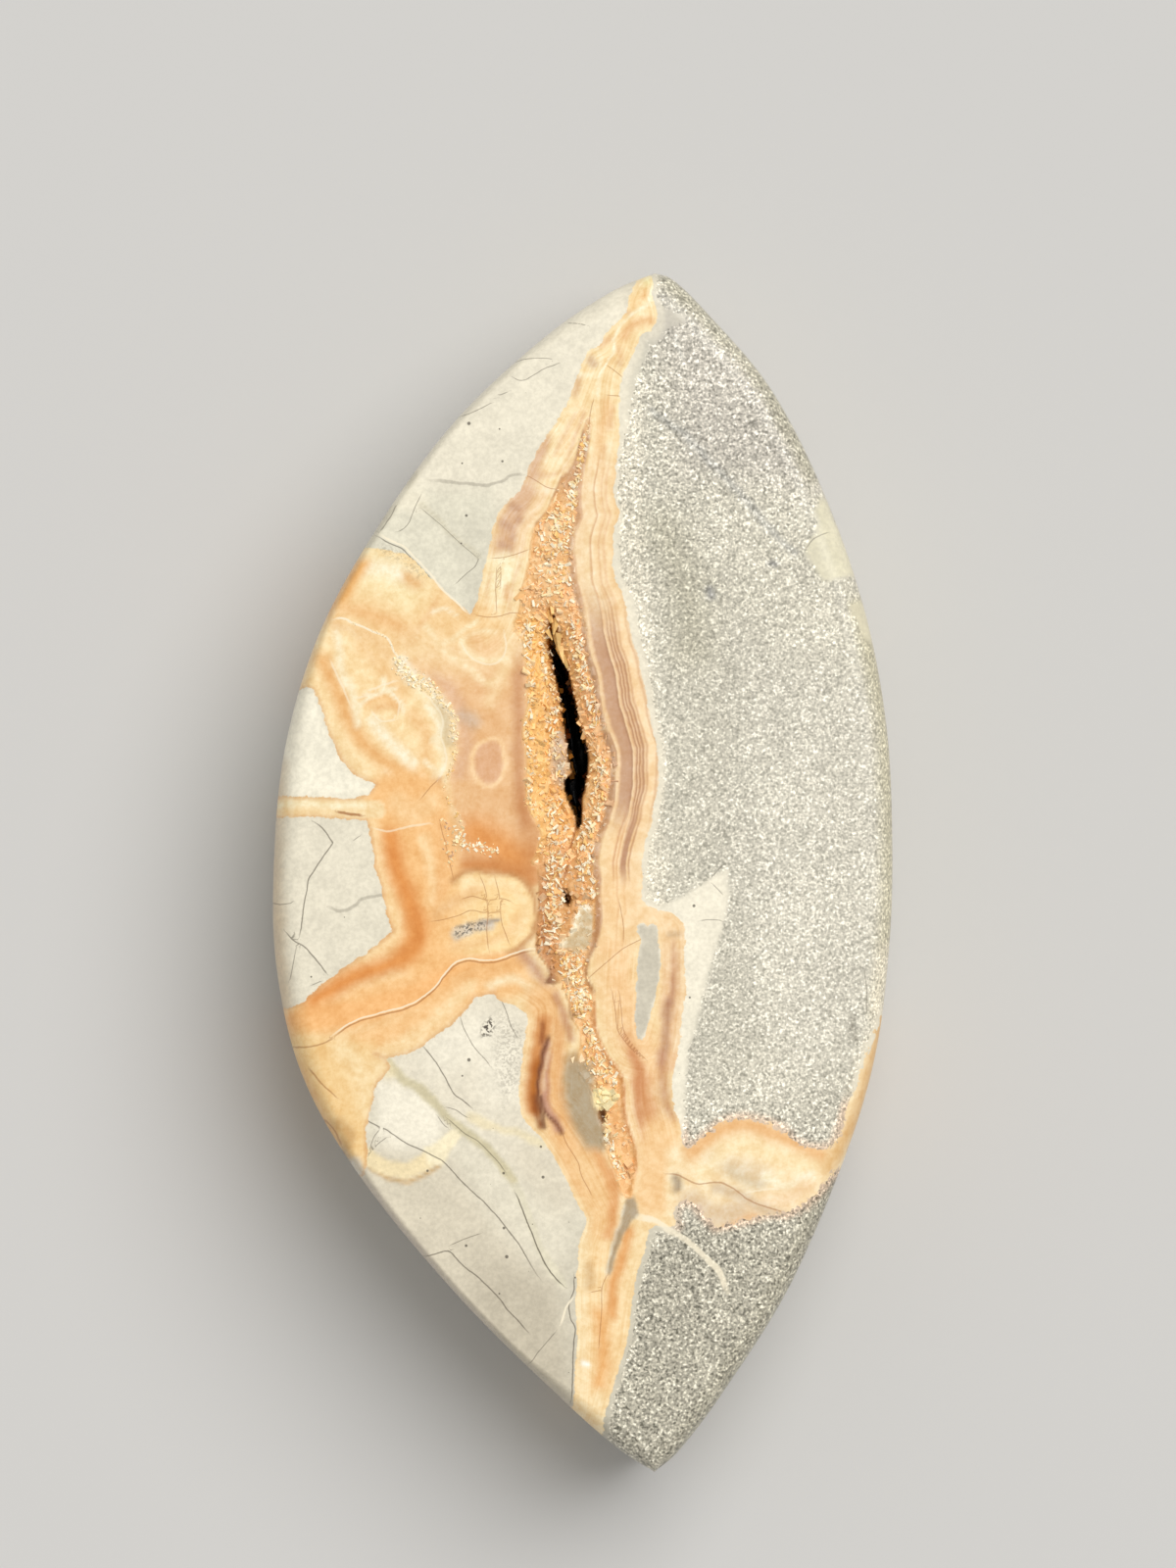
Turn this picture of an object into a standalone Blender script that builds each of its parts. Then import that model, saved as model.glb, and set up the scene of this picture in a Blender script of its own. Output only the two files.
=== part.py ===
"""A polished slab of septarian nodule, cut to a leaf outline with a point at each end.

It is one piece of stone. The back is sawn flat, the face is polished to a very slight crown, the
rim is rolled over from the face into the side wall, and an open crack, the vug, runs down from
the face near the middle and ends blind inside the stone.
"""
import math

import bmesh
import bpy
from mathutils import Vector

# Driving dimensions in metres
LENGTH = 0.1225
WIDTH = 0.0633
THICKNESS = 0.022
CROWN_RISE = 0.0012
SHOULDER_DROP = 0.0032
SHOULDER_WIDTH = 0.0025
CRISP_SHOULDER_WIDTH = 0.0009
WALL_FLARE = 0.0007
ARRIS_HEIGHT = 0.0008
ARRIS_WIDTH = 0.0009
VUG_DEPTH = 0.012
VUG_FLOOR_SHRINK = 0.45
CUTTER_ABOVE_FACE = 0.002

# The shoulder turns crisp on the left, between these places across and along the stone
CRISP_ACROSS = (0.004, -0.008)
CRISP_ALONG = (0.012, 0.030)
CRISP_MIDDLE = -0.004

# A point of the leaf moves this much more than its sides when the outline is drawn in
POINT_STRETCH = 1.17

# How finely the curves are cut into straight pieces
STEPS_PER_SPAN = 4
SHOULDER_STEPS = 4
CROWN_RINGS = 4
WALL_STEPS = 3
VUG_STEPS = 3

# The outline in template millimetres, across and down, from the top point round each side
TEMPLATE_LENGTH = 122.5
TEMPLATE_WIDTH = 63.3
TEMPLATE_MIDDLE = (59.5, 89.05)
TOP_POINT = (66.8, 27.8)
BOTTOM_POINT = (66.8, 150.3)
LEFT_SIDE = [(62.2, 29.8), (55.5, 34.4), (46.8, 42.5), (39.5, 52.2), (32.8, 64.0), (29.1, 76.0),
             (27.9, 88.0), (28.2, 99.0), (30.9, 110.0), (37.0, 120.5), (46.9, 132.5), (57.5, 143.0),
             (63.2, 148.0)]
RIGHT_SIDE = [(68.7, 28.5), (72.1, 31.8), (78.6, 39.5), (84.0, 50.0), (88.2, 62.0), (90.5, 74.0),
              (91.1, 86.0), (90.8, 96.5), (89.4, 107.5), (86.3, 118.0), (80.5, 131.5), (73.9, 142.0),
              (69.4, 148.0)]

# The mouth of the vug on the same template
VUG_LEFT_LIP = [(55.9, 61.8), (55.8, 65.0), (56.2, 69.0), (56.4, 73.0), (56.6, 77.0), (56.8, 81.0),
                (57.4, 84.5), (58.2, 87.6)]
VUG_RIGHT_LIP = [(59.2, 85.0), (59.5, 81.5), (60.0, 77.5), (59.1, 73.5), (58.3, 70.0), (57.3, 66.0)]

STONE_COLOUR = (0.66, 0.56, 0.44, 1.0)
STONE_ROUGHNESS = 0.25
SMOOTH_ANGLE = math.radians(35)


def clear_scene():
    """Remove every object that the file opened with."""
    for old in list(bpy.data.objects):
        bpy.data.objects.remove(old, do_unlink=True)


def make_collection(name):
    """A collection under the scene's own."""
    collection = bpy.data.collections.new(name)
    bpy.context.scene.collection.children.link(collection)
    return collection


def stone_material():
    """Cream and grey stone with a polish."""
    material = bpy.data.materials.new("polished_stone")
    material.use_nodes = True
    shader = material.node_tree.nodes["Principled BSDF"]
    shader.inputs["Base Color"].default_value = STONE_COLOUR
    shader.inputs["Roughness"].default_value = STONE_ROUGHNESS
    shader.inputs["Metallic"].default_value = 0.0
    return material


def from_template(point):
    """Template millimetres to metres from the middle of the stone."""
    across = (point[0] - TEMPLATE_MIDDLE[0]) * WIDTH / TEMPLATE_WIDTH
    along = (TEMPLATE_MIDDLE[1] - point[1]) * LENGTH / TEMPLATE_LENGTH
    return Vector((across, along))


def smooth_between(before, start, end, after, share):
    """A point on the smooth curve from start to end that also heads for its neighbours."""
    leave = (end - before) * 0.5
    arrive = (after - start) * 0.5
    square = share * share
    cube = square * share
    place = start * (2 * cube - 3 * square + 1)
    place += leave * (cube - 2 * square + share)
    place += end * (3 * square - 2 * cube)
    place += arrive * (cube - square)
    return place


def smooth_side(points):
    """A smooth run through the points, without its last point."""
    ends_added = [points[0] * 2 - points[1]] + points + [points[-1] * 2 - points[-2]]
    run = []
    for number in range(1, len(ends_added) - 2):
        four = ends_added[number - 1:number + 3]
        for step in range(STEPS_PER_SPAN):
            run.append(smooth_between(*four, step / STEPS_PER_SPAN))
    return run


def leaf_outline():
    """The closed outline of the girth, down the left side and up the right."""
    top = from_template(TOP_POINT)
    bottom = from_template(BOTTOM_POINT)
    left = [from_template(point) for point in LEFT_SIDE]
    right = [from_template(point) for point in RIGHT_SIDE]
    outline = smooth_side([top] + left + [bottom])
    outline += smooth_side([bottom] + right[::-1] + [top])
    across = [point.x for point in outline]
    along = [point.y for point in outline]
    middle = Vector((max(across) + min(across), max(along) + min(along))) * 0.5
    return [point - middle for point in outline]


def ease(start, finish, value):
    """Nought before start, one past finish and a smooth rise between."""
    share = min(max((value - start) / (finish - start), 0.0), 1.0)
    return share * share * (3.0 - 2.0 * share)


def shoulder_width(point):
    """The rolled rim is wide at the waist and on the right, and crisp at the two left ends."""
    left = ease(*CRISP_ACROSS, point.x)
    end = ease(*CRISP_ALONG, abs(point.y - CRISP_MIDDLE))
    return SHOULDER_WIDTH + (CRISP_SHOULDER_WIDTH - SHOULDER_WIDTH) * left * end


def drawn_in(point, inset):
    """A point of the outline moved inwards by about the inset, the same all round the leaf."""
    across = 2.0 * inset / WIDTH
    along = 2.0 * inset * POINT_STRETCH / LENGTH
    return Vector((point.x * (1.0 - across), point.y * (1.0 - along)))


def face_height(place):
    """The height of the crowned face above the back."""
    fall = (2.0 * place.x / WIDTH) ** 2 + (2.0 * place.y / LENGTH) ** 2
    return THICKNESS - CROWN_RISE * fall


def place_ring(ring, outline, inset_of, height_of):
    """Put a ring of vertices on the outline, drawn in and raised as the two rules say."""
    for vertex, point in zip(ring, outline):
        place = drawn_in(point, inset_of(point))
        vertex.co = Vector((place.x, place.y, height_of(place, point)))


def raise_ring(mesh, ring):
    """Extrude the open rim of the shape and give back the new ring in the same order."""
    edges = [mesh.edges.get((ring[number - 1], ring[number])) for number in range(len(ring))]
    made = bmesh.ops.extrude_edge_only(mesh, edges=edges)
    fresh = {element for element in made["geom"] if isinstance(element, bmesh.types.BMVert)}
    return [next(edge.other_vert(old) for edge in old.link_edges if edge.other_vert(old) in fresh)
            for old in ring]


def ring_rules():
    """The side profile from the back up to the edge of the face, as inset and height rules."""
    wall_top = THICKNESS - CROWN_RISE - SHOULDER_DROP
    rules = [(lambda point: WALL_FLARE, lambda place, point: ARRIS_HEIGHT)]
    for step in range(1, WALL_STEPS + 1):
        share = step / WALL_STEPS
        inset = WALL_FLARE * (1.0 - math.sin(share * math.pi * 0.5))
        height = ARRIS_HEIGHT + (wall_top - ARRIS_HEIGHT) * share
        rules.append((lambda point, inset=inset: inset, lambda place, point, height=height: height))
    for step in range(1, SHOULDER_STEPS + 1):
        angle = step / SHOULDER_STEPS * math.pi * 0.5
        share = 1.0 - math.cos(angle)
        drop = SHOULDER_DROP * (1.0 - math.sin(angle))
        rules.append((lambda point, share=share: shoulder_width(point) * share,
                      lambda place, point, drop=drop: face_height(place) - drop))
    return rules


def make_slab(collection, material):
    """The whole stone as one closed body, before the vug is cut."""
    outline = leaf_outline()
    mesh = bmesh.new()
    ring = [mesh.verts.new((0.0, 0.0, 0.0)) for _ in outline]
    mesh.faces.new(ring)
    back_inset = WALL_FLARE + ARRIS_WIDTH
    place_ring(ring, outline, lambda point: back_inset, lambda place, point: 0.0)
    for inset_of, height_of in ring_rules():
        ring = raise_ring(mesh, ring)
        place_ring(ring, outline, inset_of, height_of)
    edge_of_face = [vertex.co.copy() for vertex in ring]
    for number in range(CROWN_RINGS, 0, -1):
        ring = raise_ring(mesh, ring)
        share = number / (CROWN_RINGS + 1)
        for vertex, rim in zip(ring, edge_of_face):
            vertex.co = Vector((rim.x * share, rim.y * share, 0.0))
            vertex.co.z = face_height(vertex.co)
    middle_patch = mesh.faces.new(ring)
    poled = bmesh.ops.poke(mesh, faces=[middle_patch])
    poled["verts"][0].co.z = THICKNESS
    bmesh.ops.recalc_face_normals(mesh, faces=mesh.faces)
    data = bpy.data.meshes.new("septarian_nodule")
    mesh.to_mesh(data)
    mesh.free()
    data.shade_smooth()
    data.set_sharp_from_angle(angle=SMOOTH_ANGLE)
    data.materials.append(material)
    slab = bpy.data.objects.new("septarian_nodule", data)
    collection.objects.link(slab)
    return slab


def make_vug_cutter(collection):
    """A narrow wedge of space: the mouth of the vug, drawn in step by step down to its floor."""
    mouth = [from_template(point) for point in VUG_LEFT_LIP + VUG_RIGHT_LIP]
    middle = sum(mouth, Vector((0.0, 0.0))) / len(mouth)
    top = THICKNESS + CUTTER_ABOVE_FACE
    mesh = bmesh.new()
    ring = [mesh.verts.new((point.x, point.y, top)) for point in mouth]
    mesh.faces.new(ring)
    for step in range(VUG_STEPS + 1):
        share = step / VUG_STEPS
        ring = raise_ring(mesh, ring)
        shrink = 1.0 - (1.0 - VUG_FLOOR_SHRINK) * share * share
        height = THICKNESS - VUG_DEPTH * share
        for vertex, point in zip(ring, mouth):
            place = middle + (point - middle) * shrink
            vertex.co = Vector((place.x, place.y, height))
    mesh.faces.new(ring)
    bmesh.ops.recalc_face_normals(mesh, faces=mesh.faces)
    data = bpy.data.meshes.new("vug_cutter")
    mesh.to_mesh(data)
    mesh.free()
    cutter = bpy.data.objects.new("vug_cutter", data)
    cutter.display_type = 'WIRE'
    cutter.hide_render = True
    collection.objects.link(cutter)
    return cutter


def cut_vug(slab, cutter):
    """Open the vug in the face."""
    cut = slab.modifiers.new("vug", 'BOOLEAN')
    cut.operation = 'DIFFERENCE'
    cut.solver = 'EXACT'
    cut.object = cutter


clear_scene()
stone_parts = make_collection("septarian_nodule")
cutting_shapes = make_collection("cutters")
stone = make_slab(stone_parts, stone_material())
cut_vug(stone, make_vug_cutter(cutting_shapes))
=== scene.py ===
import math
import random

import bmesh
import bpy
import numpy as np
from mathutils import Euler, Matrix, Vector, noise


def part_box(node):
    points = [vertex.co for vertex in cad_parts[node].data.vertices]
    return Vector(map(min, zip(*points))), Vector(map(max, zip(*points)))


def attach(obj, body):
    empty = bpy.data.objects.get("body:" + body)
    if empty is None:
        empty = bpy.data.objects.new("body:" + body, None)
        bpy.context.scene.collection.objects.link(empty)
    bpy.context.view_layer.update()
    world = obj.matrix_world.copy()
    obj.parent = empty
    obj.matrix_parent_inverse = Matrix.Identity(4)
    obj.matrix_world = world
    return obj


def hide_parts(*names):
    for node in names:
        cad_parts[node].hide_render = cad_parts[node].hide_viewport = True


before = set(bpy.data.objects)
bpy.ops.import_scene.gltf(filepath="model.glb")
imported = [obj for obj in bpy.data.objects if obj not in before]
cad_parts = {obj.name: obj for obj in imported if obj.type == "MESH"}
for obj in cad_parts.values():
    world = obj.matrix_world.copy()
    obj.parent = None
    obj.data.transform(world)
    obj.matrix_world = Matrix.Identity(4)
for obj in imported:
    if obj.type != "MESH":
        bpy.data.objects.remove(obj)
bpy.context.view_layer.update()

# The stone
# One piece of septarian nodule, cut to a leaf outline. Its face is polished to a slight crown, its
# rim is rolled over, its back is sawn flat, and a crack lined with crystals opens in the face.
# It is modelled as a fine grid for the face, a coarser grid for the back and rings for the rim.
slab_low, slab_high = (np.array(corner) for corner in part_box("septarian_nodule"))
LENGTH = slab_high[1] - slab_low[1]
WIDTH = slab_high[0] - slab_low[0]
THICKNESS = slab_high[2] - slab_low[2]
CROWN_RISE = 0.0012
SHOULDER_DROP = 0.0032
SHOULDER_WIDTH = 0.0025
CRISP_SHOULDER_WIDTH = 0.0009
WALL_FLARE = 0.0007
ARRIS_HEIGHT = 0.0008
ARRIS_WIDTH = 0.0009
POINT_STRETCH = 1.17
CRISP_ACROSS = (0.004, -0.008)
CRISP_ALONG = (0.012, 0.030)
CRISP_MIDDLE = -0.004

# Routes and outlines are in template millimetres, across and down from the template's corner
TEMPLATE_MIDDLE = np.array((59.5, 89.05))
MM = 0.001
TOP_POINT = (66.8, 27.8)
BOTTOM_POINT = (66.8, 150.3)
LEFT_SIDE = [
    (62.2, 29.8), (55.5, 34.4), (46.8, 42.5), (39.5, 52.2), (32.8, 64.0), (29.1, 76.0), (27.9, 88.0),
    (28.2, 99.0), (30.9, 110.0), (37.0, 120.5), (46.9, 132.5), (57.5, 143.0), (63.2, 148.0)]
RIGHT_SIDE = [
    (68.7, 28.5), (72.1, 31.8), (78.6, 39.5), (84.0, 50.0), (88.2, 62.0), (90.5, 74.0), (91.1, 86.0),
    (90.8, 96.5), (89.4, 107.5), (86.3, 118.0), (80.5, 131.5), (73.9, 142.0), (69.4, 148.0)]

FACE_ROWS = 400
FACE_COLUMNS = 186
BACK_COLUMNS = 36
SHOULDER_STEPS = 6
WALL_STEPS = 4
LAST_RING = SHOULDER_STEPS + WALL_STEPS + 1
GIRTH_STEPS = 12
NEARLY = 1e-4
MERGE_DISTANCE = 1e-6
# The columns stand closer together on the left, where the veins are
COLUMN_PLACES = [(0.0, 0.0), (0.76, 0.64), (1.0, 1.0)]
ROW_PLACES = [(0.0, 0.0), (0.03, 0.014), (0.97, 0.986), (1.0, 1.0)]


def smooth_route(points, steps):
    """A smooth run of straight steps through given points."""
    places = np.array(points, dtype=float)
    before = np.vstack((2 * places[0] - places[1], places[:-2]))
    after = np.vstack((places[2:], 2 * places[-1] - places[-2]))
    run = []
    for number in range(len(places) - 1):
        start, end = places[number], places[number + 1]
        leave = (end - before[number]) * 0.5
        arrive = (after[number] - start) * 0.5
        for step in range(steps):
            share = step / steps
            square, cube = share ** 2, share ** 3
            run.append(start * (2 * cube - 3 * square + 1) + leave * (cube - 2 * square + share)
                       + end * (3 * square - 2 * cube) + arrive * (cube - square))
    run.append(places[-1])
    return np.array(run)


def to_metres(places):
    """Template millimetres to metres from the middle of the slab."""
    moved = (np.asarray(places) - TEMPLATE_MIDDLE) * MM
    return moved * np.array((1.0, -1.0))


def to_template(places):
    """Metres from the middle of the slab to template millimetres."""
    return np.asarray(places) * np.array((1.0, -1.0)) / MM + TEMPLATE_MIDDLE


def ease(start, finish, values):
    """Nought before start, one past finish and a smooth rise between."""
    share = np.clip((values - start) / (finish - start), 0.0, 1.0)
    return share * share * (3.0 - 2.0 * share)


def shoulder_width(places):
    """The rolled rim is wide at the waist and on the right, and crisp at the two left ends."""
    left = ease(*CRISP_ACROSS, places[:, 0])
    end = ease(*CRISP_ALONG, np.abs(places[:, 1] - CRISP_MIDDLE))
    return SHOULDER_WIDTH + (CRISP_SHOULDER_WIDTH - SHOULDER_WIDTH) * left * end


def drawn_in(places, inset):
    """Places on the outline moved inwards, by the same amount all round the leaf."""
    across = 1.0 - 2.0 * inset / WIDTH
    along = 1.0 - 2.0 * inset * POINT_STRETCH / LENGTH
    return np.column_stack((places[:, 0] * across, places[:, 1] * along))


def face_height(places):
    """The height of the crowned face above the back."""
    fall = (2.0 * places[:, 0] / WIDTH) ** 2 + (2.0 * places[:, 1] / LENGTH) ** 2
    return THICKNESS - CROWN_RISE * fall


def side_at(points, share):
    """Places on one side of the girth, at shares of the way from the top point to the bottom."""
    route = to_metres(smooth_route([TOP_POINT] + points + [BOTTOM_POINT], GIRTH_STEPS))
    along = route[0, 1] + (route[-1, 1] - route[0, 1]) * share
    across = np.interp(-along, -route[:, 1], route[:, 0])
    return np.column_stack((across, along))


def make_grid_sheet(mesh, columns, ring, ring_layer, across_layer, along_layer):
    """A grid that knows its own share across and along, with its two ends gathered to points."""
    made = bmesh.ops.create_grid(mesh, x_segments=columns, y_segments=FACE_ROWS, size=1.0)
    for vertex in made["verts"]:
        vertex[across_layer] = vertex.co.x * 0.5 + 0.5
        vertex[along_layer] = np.interp(0.5 - vertex.co.y * 0.5, *zip(*ROW_PLACES))
        vertex[ring_layer] = ring
    ends = [[vertex for vertex in made["verts"] if vertex.co.y * end > 1.0 - NEARLY]
            for end in (-1.0, 1.0)]
    for row in ends:
        bmesh.ops.pointmerge(mesh, verts=row, merge_co=row[columns // 2].co)


def extrude_rim(mesh, edges, ring, ring_layer):
    """Pull a new ring out of the open rim; its vertices keep their shares across and along."""
    made = bmesh.ops.extrude_edge_only(mesh, edges=edges)
    for element in made["geom"]:
        if isinstance(element, bmesh.types.BMVert):
            element[ring_layer] = ring
    return [element for element in made["geom"]
            if isinstance(element, bmesh.types.BMEdge) and element.is_boundary]


def ring_profile(ring, rim):
    """Inset of one rim ring and its drop below the face, or its height if it's on the wall."""
    if ring <= SHOULDER_STEPS:
        angle = (1.0 - ring / SHOULDER_STEPS) * math.pi * 0.5
        inset = shoulder_width(rim) * (1.0 - math.cos(angle))
        place = drawn_in(rim, inset)
        return place, face_height(place) - SHOULDER_DROP * (1.0 - math.sin(angle))
    if ring == LAST_RING:
        place = drawn_in(rim, np.full(len(rim), WALL_FLARE + ARRIS_WIDTH))
        return place, np.zeros(len(rim))
    share = (ring - SHOULDER_STEPS) / WALL_STEPS
    place = drawn_in(rim, np.full(len(rim), WALL_FLARE * (1.0 - math.cos(share * math.pi * 0.5))))
    wall_top = THICKNESS - CROWN_RISE - SHOULDER_DROP
    return place, wall_top + (ARRIS_HEIGHT - wall_top) * share


def place_vertices(across, along, rings):
    """Every vertex's place, worked out from its shares and its ring."""
    left = side_at(LEFT_SIDE, along)
    right = side_at(RIGHT_SIDE, along)
    spread = np.interp(across, *zip(*COLUMN_PLACES))[:, None]
    places = np.zeros((len(across), 3))
    face = rings == 0
    inner_left = drawn_in(left, shoulder_width(left))
    inner_right = drawn_in(right, shoulder_width(right))
    flat = inner_left + (inner_right - inner_left) * spread
    places[face, :2] = flat[face]
    places[face, 2] = face_height(flat[face])
    rim = np.where(across[:, None] < 0.5, left, right)
    for ring in range(1, LAST_RING + 1):
        chosen = rings == ring
        place, height = ring_profile(ring, rim[chosen])
        places[chosen, :2] = place
        places[chosen, 2] = height
    back = rings == LAST_RING + 1
    back_inset = np.full(len(left), WALL_FLARE + ARRIS_WIDTH)
    back_left = drawn_in(left, back_inset)
    back_right = drawn_in(right, back_inset)
    places[back, :2] = (back_left + (back_right - back_left) * across[:, None])[back]
    return places


def build_slab_mesh():
    """The closed skin of the slab, with the face, the rim, the wall and the back."""
    mesh = bmesh.new()
    ring_layer = mesh.verts.layers.int.new("ring")
    across_layer = mesh.verts.layers.float.new("across")
    along_layer = mesh.verts.layers.float.new("along")
    layers = (ring_layer, across_layer, along_layer)
    make_grid_sheet(mesh, FACE_COLUMNS, 0, *layers)
    edges = [edge for edge in mesh.edges if edge.is_boundary]
    for ring in range(1, LAST_RING + 1):
        edges = extrude_rim(mesh, edges, ring, ring_layer)
    make_grid_sheet(mesh, BACK_COLUMNS, LAST_RING + 1, *layers)
    rings, across, along = (np.array([vertex[layer] for vertex in mesh.verts]) for layer in layers)
    places = place_vertices(across, along, rings)
    for vertex, place in zip(mesh.verts, places):
        vertex.co = place
    return mesh


stone_bmesh = build_slab_mesh()
bmesh.ops.remove_doubles(stone_bmesh, verts=stone_bmesh.verts, dist=MERGE_DISTANCE)
bmesh.ops.recalc_face_normals(stone_bmesh, faces=stone_bmesh.faces)
skin = np.array([vertex.co for vertex in stone_bmesh.verts])

# The veins and the mudstone between them
# Cracks split the mudstone into blocks and calcite filled them from both walls. The outlines below
# are the blocks of mudstone; calcite fills all that lies between. Deeper in the stone they shift a
# little, so that the veins lean as they come down the wall.
DRIFT = np.array((0.10, -0.06))
WOBBLE_PER_MM = 0.12
MOST_WOBBLE = 1.6
WOBBLE_SCALE = (0.35, 0.35, 0.2)
# Vector noise starts from the clock unless it has a seed, and every run has to give the same stone
NOISE_SEED = 7
noise.seed_set(NOISE_SEED)
depth = (face_height(skin) - skin[:, 2]) / MM
spots = to_template(skin[:, :2]) + depth[:, None] * DRIFT
wobble = np.array([noise.noise_vector(Vector(place))
                   for place in np.column_stack((spots, depth)) * WOBBLE_SCALE])
spots += wobble[:, :2] * np.clip(depth * WOBBLE_PER_MM, 0.0, MOST_WOBBLE)[:, None]
spot_across, spot_down = spots.T

UPPER_LEFT_MUD = [
    (66.0, 25), (65.9, 28), (65.2, 28.6), (64.5, 29.8), (64.1, 30.8), (64, 31.8), (63.2, 32.7),
    (62.2, 33.7), (61.6, 34.3), (61.3, 35.2), (60, 35.9), (59.7, 36.6), (59.3, 37.5), (58.9, 38.6),
    (58.5, 39.6), (58, 41), (57.3, 42.2), (56.8, 43.2), (56, 44.3), (55.4, 45.2), (54.8, 46), (54.4, 47),
    (54, 47.8), (53.6, 48.6), (53.4, 49.4), (53.1, 50.1), (52.2, 50.8), (51.3, 51.8), (50.7, 52.7),
    (50.3, 53.7), (50.1, 54.8), (49.9, 56), (49.6, 57.4), (49.3, 58.7), (49, 60), (48.7, 61.2),
    (48.3, 62.3), (48.1, 62.7), (47, 61.9), (45.5, 60.5), (44, 59), (43, 57.9), (42.2, 57), (41, 56.5),
    (39.5, 56.2), (38, 55.9), (36, 55.7), (30, 53), (40, 25)]
LEFT_WEDGE = [
    (30.3, 70.5), (30.8, 70.2), (31.6, 70.2), (32.1, 70.5), (32.5, 71.4), (32.8, 72.2), (33.1, 73.3),
    (33.5, 74.7), (34.1, 75.8), (34.5, 76.8), (35, 77.7), (35.7, 78.6), (36.5, 79.2), (37.3, 79.6),
    (38.4, 80), (38, 80.6), (37.4, 81.1), (36.6, 81.4), (35.5, 81.5), (34, 81.4), (32.5, 81.3),
    (30.5, 81.3), (29, 81.2), (24, 81.1), (24, 70.5)]
LEFT_BLOCK = [
    (24, 83.3), (28.1, 83.3), (30, 83.4), (32, 83.3), (33.5, 83.5), (35.5, 83.6), (37.4, 83.7),
    (37.8, 84.8), (38, 86), (38.1, 87), (38.3, 88.5), (38.7, 89.7), (39.1, 91), (39.1, 91.8), (39.4, 92.8),
    (39.7, 94), (40.2, 94.9), (39.6, 95.5), (38.8, 96.1), (38, 96.7), (37, 97.5), (36, 98.1), (35, 98.8),
    (34.2, 99.4), (33.2, 100.1), (32.5, 100.8), (31.6, 101.5), (31, 102.2), (30.2, 102.5), (29.6, 102.7),
    (28.8, 102.6), (24, 102.8)]
LOWER_LEFT_MUD = [
    (38.3, 107.5), (39.3, 107.9), (40, 107.8), (41.5, 107.5), (43, 106.8), (44, 106), (45, 105.3),
    (46, 104.6), (46.8, 103.8), (47.6, 103), (48.2, 102.2), (48.5, 101.7), (49.5, 101.5), (50.4, 101.2),
    (50.8, 102), (51.5, 102.2), (52.3, 102.4), (53.2, 102.9), (53.9, 103.4), (53.8, 104.5), (53.6, 106),
    (53.3, 107.5), (53.1, 109), (53, 111), (53, 112.5), (53.4, 114), (54, 114.8), (54.7, 115.6),
    (55.2, 116), (55.5, 116.5), (56, 117.2), (56.7, 118.2), (57.2, 119.2), (57.8, 120.3), (58.4, 121.5),
    (59, 122.8), (59.6, 123.8), (59.8, 124.3), (59.6, 125.5), (59.2, 126.5), (59, 128), (58.9, 130),
    (58.8, 132), (58.8, 134), (58.9, 136), (58.8, 138), (58.7, 140), (58.6, 142), (58.5, 143.8),
    (58.4, 145.5), (50, 155), (25, 130), (36, 120.8), (37.2, 120), (37.4, 119.2), (37.5, 118),
    (37.4, 116.5), (37.4, 114.8), (37.8, 113.5), (38.2, 112.2), (38.3, 111), (38.7, 110.2), (39.4, 109.6),
    (39.8, 108.8), (39.3, 107.9)]
RIGHT_MASS = [
    (66.6, 27.8), (66.7, 29), (66.4, 30), (66.8, 31), (67, 32), (67, 33), (66.5, 33.8), (65.5, 34.1),
    (65, 35), (64.8, 35.8), (64.3, 37), (63.8, 37.8), (63.5, 38.5), (63.3, 39.5), (63.2, 40.5),
    (63.1, 41.5), (63.2, 42.8), (63.3, 44), (63.2, 45), (63, 46.2), (62.8, 47.5), (62.7, 49), (62.6, 50.5),
    (62.8, 51.5), (63.2, 52.2), (63.1, 53), (62.7, 53.8), (62.5, 55), (62.5, 56.5), (62.6, 58), (62.7, 59),
    (63.1, 59.8), (63.5, 60.5), (63.8, 61.5), (64, 62.8), (64.3, 64), (64.6, 65.5), (65, 66.8), (65.3, 68),
    (65.8, 70), (66.1, 72), (66.5, 74), (67, 76), (67.2, 78), (67.1, 80), (66.8, 82), (66.5, 84),
    (66.1, 85), (65.8, 86), (65.5, 88), (65.5, 90), (65.5, 91.8), (66.2, 92.5), (67.2, 92.9), (68.2, 93),
    (69, 93.5), (69.7, 94.2), (69.9, 95.5), (69.9, 98.5), (69.9, 101.5), (69.7, 103), (69.5, 104.5),
    (69.4, 106), (69.1, 107.5), (68.9, 108.5), (68.6, 109.5), (68.5, 110.8), (68.6, 112), (68.9, 113.2),
    (69.3, 114.5), (69.6, 115.8), (69.7, 116.6), (70, 117.2), (70.8, 116.9), (71.6, 116.3), (72.2, 115.8),
    (73.3, 114.8), (74.5, 114.3), (76, 114.1), (77.5, 114.4), (78.5, 114.7), (79.5, 115.1), (80.3, 115.8),
    (80.5, 116.4), (81.5, 116.8), (82.5, 117.2), (83.8, 117.3), (84.8, 117), (85.5, 116.4), (85.8, 115.5),
    (86.1, 114.2), (86.4, 113), (87, 112), (87.5, 110.8), (87.8, 109.8), (88.1, 108.5), (88.7, 107.2),
    (89.2, 106), (89.6, 105), (90.2, 103.5), (100, 98), (100, 20), (67, 20)]
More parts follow.
